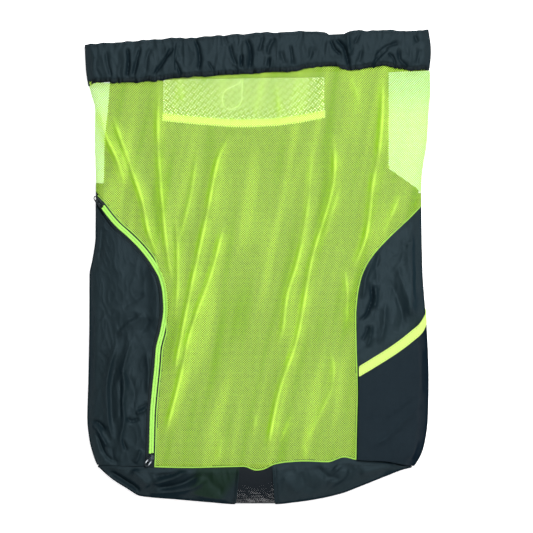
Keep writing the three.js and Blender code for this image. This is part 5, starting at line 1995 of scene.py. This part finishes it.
def band_points(girth, v):
    """Points of the band, with ruffled edges on its front."""
    y = mix(band_foot(girth), band_head(girth), v)
    points, on_front = body(girth, y)
    x = points[..., 0]
    room = np.minimum(x - left_edge(y), right_edge(y) - x)
    hold = np.where(on_front, smoothstep(room, 0.0, 10.0), 0.0)
    level = np.full_like(x, 0.5)
    low = 1.1 * noise(x / 4.2, level, 95) + 1.5 * noise(x / 11, level, 96)
    high = 1.2 * noise(x / 9, level, 97)
    points[..., 1] += hold * (low * (1 - v) ** 4 + high * v ** 6)
    points[..., 1] -= BAND_DROOP * np.exp(-((x - left_edge(y)) / 8) ** 2) * (1 - v) ** 3
    beside = np.exp(-((right_edge(y) - x) / 14) ** 2)
    points[..., 0] += BAND_BULGE * (np.sin(math.pi * v) - 0.35) * beside
    points[..., 2] += hold * (1.6 + band_lift(x, y, v))
    return points


class MESHBAG_OT_band(bpy.types.Operator):
    """Gathered tunnel round the mouth"""
    bl_idname = "mesh_bag.band"
    bl_label = "Mouth band"

    def execute(self, context):
        girth, v = np.meshgrid(band_girths(), np.linspace(0.0, 1.0, BAND_ROWS))
        grid = band_points(girth, v)
        mesh = wall("band_cloth", grid, np.stack([girth, v * BAND_WIDTH], -1), BAND_WALL, ring=True)
        piece = add_object("band_cloth", mesh, finish_for("band"))
        finish_piece(piece, "nylon", "mouth_band")
        float(grid_area(grid))
        return {"FINISHED"}


THREAD_LIFT = np.array([0.0, 0.0, 0.25])
BAND_LEVEL = 230.0
BAND_STITCHES = (0.09, 0.93)
DRAIN_STITCHES = (2.0, 4.4)
BASE_STITCHES = ((-180.0, -24.0), (22.0, 170.0))
TAPE_STITCHES = (0.14, 0.86)
WINDOW_STITCHES = (-0.34, 0.34)
WINDOW_THREAD = 5.3


class MESHBAG_OT_stitches(bpy.types.Operator):
    """Rows of stitches along the seams"""
    bl_idname = "mesh_bag.stitches"
    bl_label = "Stitches"

    def execute(self, context):
        self.sew("dark_stitches", self.dark_lines(), "dark_thread", "nylon")
        self.sew("lime_stitches", self.lime_lines(), "lime_thread", "binding")
        return {"FINISHED"}

    def sew(self, name, lines, finish, slot):
        """One piece of all the stitches of a colour."""
        mesh = line_mesh(name, lines)
        rows = grown(name, mesh, stitch_tree, finish_for(finish), Pitch=sizes().stitch_pitch)
        finish_piece(rows, slot)

    def dark_lines(self):
        """Lines along the band, the drain's sides, the base's seam, the zip and the right seam."""
        dark = []
        ends = [float(edge_girth(BAND_LEVEL, side, 0)) - 6 * side for side in (-1, 1)]
        girth = np.linspace(*ends, 240)
        for share in BAND_STITCHES:
            dark.append(band_points(girth, np.full_like(girth, share)))
        v = np.linspace(0.03, 0.5, 60)
        left, right = drain_sides(v)
        for gap in DRAIN_STITCHES:
            dark.append(base_surface(left - gap, v))
            dark.append(base_surface(right + gap, v))
        for ends in BASE_STITCHES:
            x = np.linspace(*ends, 120)
            dark.append(base_surface(x, np.full_like(x, 0.06)))
        y = np.linspace(-228.0, 66.0, 150)
        dark.append(side_surface(zip_girth(y, -TAPE_OUTER - 2.6), y))
        y = np.linspace(-228.0, 60.0, 150)
        dark.append(side_surface(right_girth(y, 3.0), y))
        return [points + THREAD_LIFT for points in dark]

    def lime_lines(self):
        """Lines along the bindings of the pocket and the window."""
        lime = []
        line, ends = pocket_line()
        girth = np.linspace(ends[0] + 1, ends[1] - 12, 110)
        run = np.hypot(1.0, (line(girth + 1) - line(girth - 1)) / 2)
        for share in TAPE_STITCHES:
            y = line(girth) + mix(*pocket_tape(girth, ends), share) * run
            lime.append(lifted(girth, y, lambda x, h: pocket_lift(x, h) + 2.0) + THREAD_LIFT)
        x = np.linspace(WINDOW_SIDES[0] + 1, WINDOW_SIDES[1] - 1, 90)
        for share in WINDOW_STITCHES:
            y = window_line(x) + share * BINDING_WIDTH
            lime.append(np.stack([x, y, np.full_like(x, WINDOW_THREAD)], -1))
        return lime


OPERATORS = (
    MESHBAG_OT_stage, MESHBAG_OT_hanging_loop, MESHBAG_OT_front_mesh, MESHBAG_OT_back,
    MESHBAG_OT_corners, MESHBAG_OT_sides, MESHBAG_OT_pocket, MESHBAG_OT_zip, MESHBAG_OT_base,
    MESHBAG_OT_band, MESHBAG_OT_stitches,
)


class MESHBAG_PT_panel(bpy.types.Panel):
    """Lists the bag's sizes, colours and pieces"""
    bl_idname = "MESHBAG_PT_panel"
    bl_label = "Mesh Bag"
    bl_space_type = "VIEW_3D"
    bl_region_type = "UI"
    bl_category = "Mesh Bag"

    def draw(self, context):
        column = self.layout.column()
        for group in (sizes(), colours()):
            for key in group.__annotations__:
                column.prop(group, key)
        for operator in OPERATORS:
            column.operator(operator.bl_idname)


CLASSES = (MeshBagSizes, MeshBagColours, *OPERATORS, MESHBAG_PT_panel)


def register():
    """Adds the classes, and the sizes and colours of a scene."""
    for made in CLASSES:
        bpy.utils.register_class(made)
    bpy.types.Scene.mesh_bag_sizes = bpy.props.PointerProperty(type=MeshBagSizes)
    bpy.types.Scene.mesh_bag_colours = bpy.props.PointerProperty(type=MeshBagColours)


def unregister():
    """Takes away what register adds."""
    del bpy.types.Scene.mesh_bag_colours
    del bpy.types.Scene.mesh_bag_sizes
    for made in reversed(CLASSES):
        bpy.utils.unregister_class(made)


def main():
    """Makes every piece in order."""
    register()
    for operator in OPERATORS:
        family, name = operator.bl_idname.split(".")
        getattr(getattr(bpy.ops, family), name)()


if __name__ == "__main__":
    main()
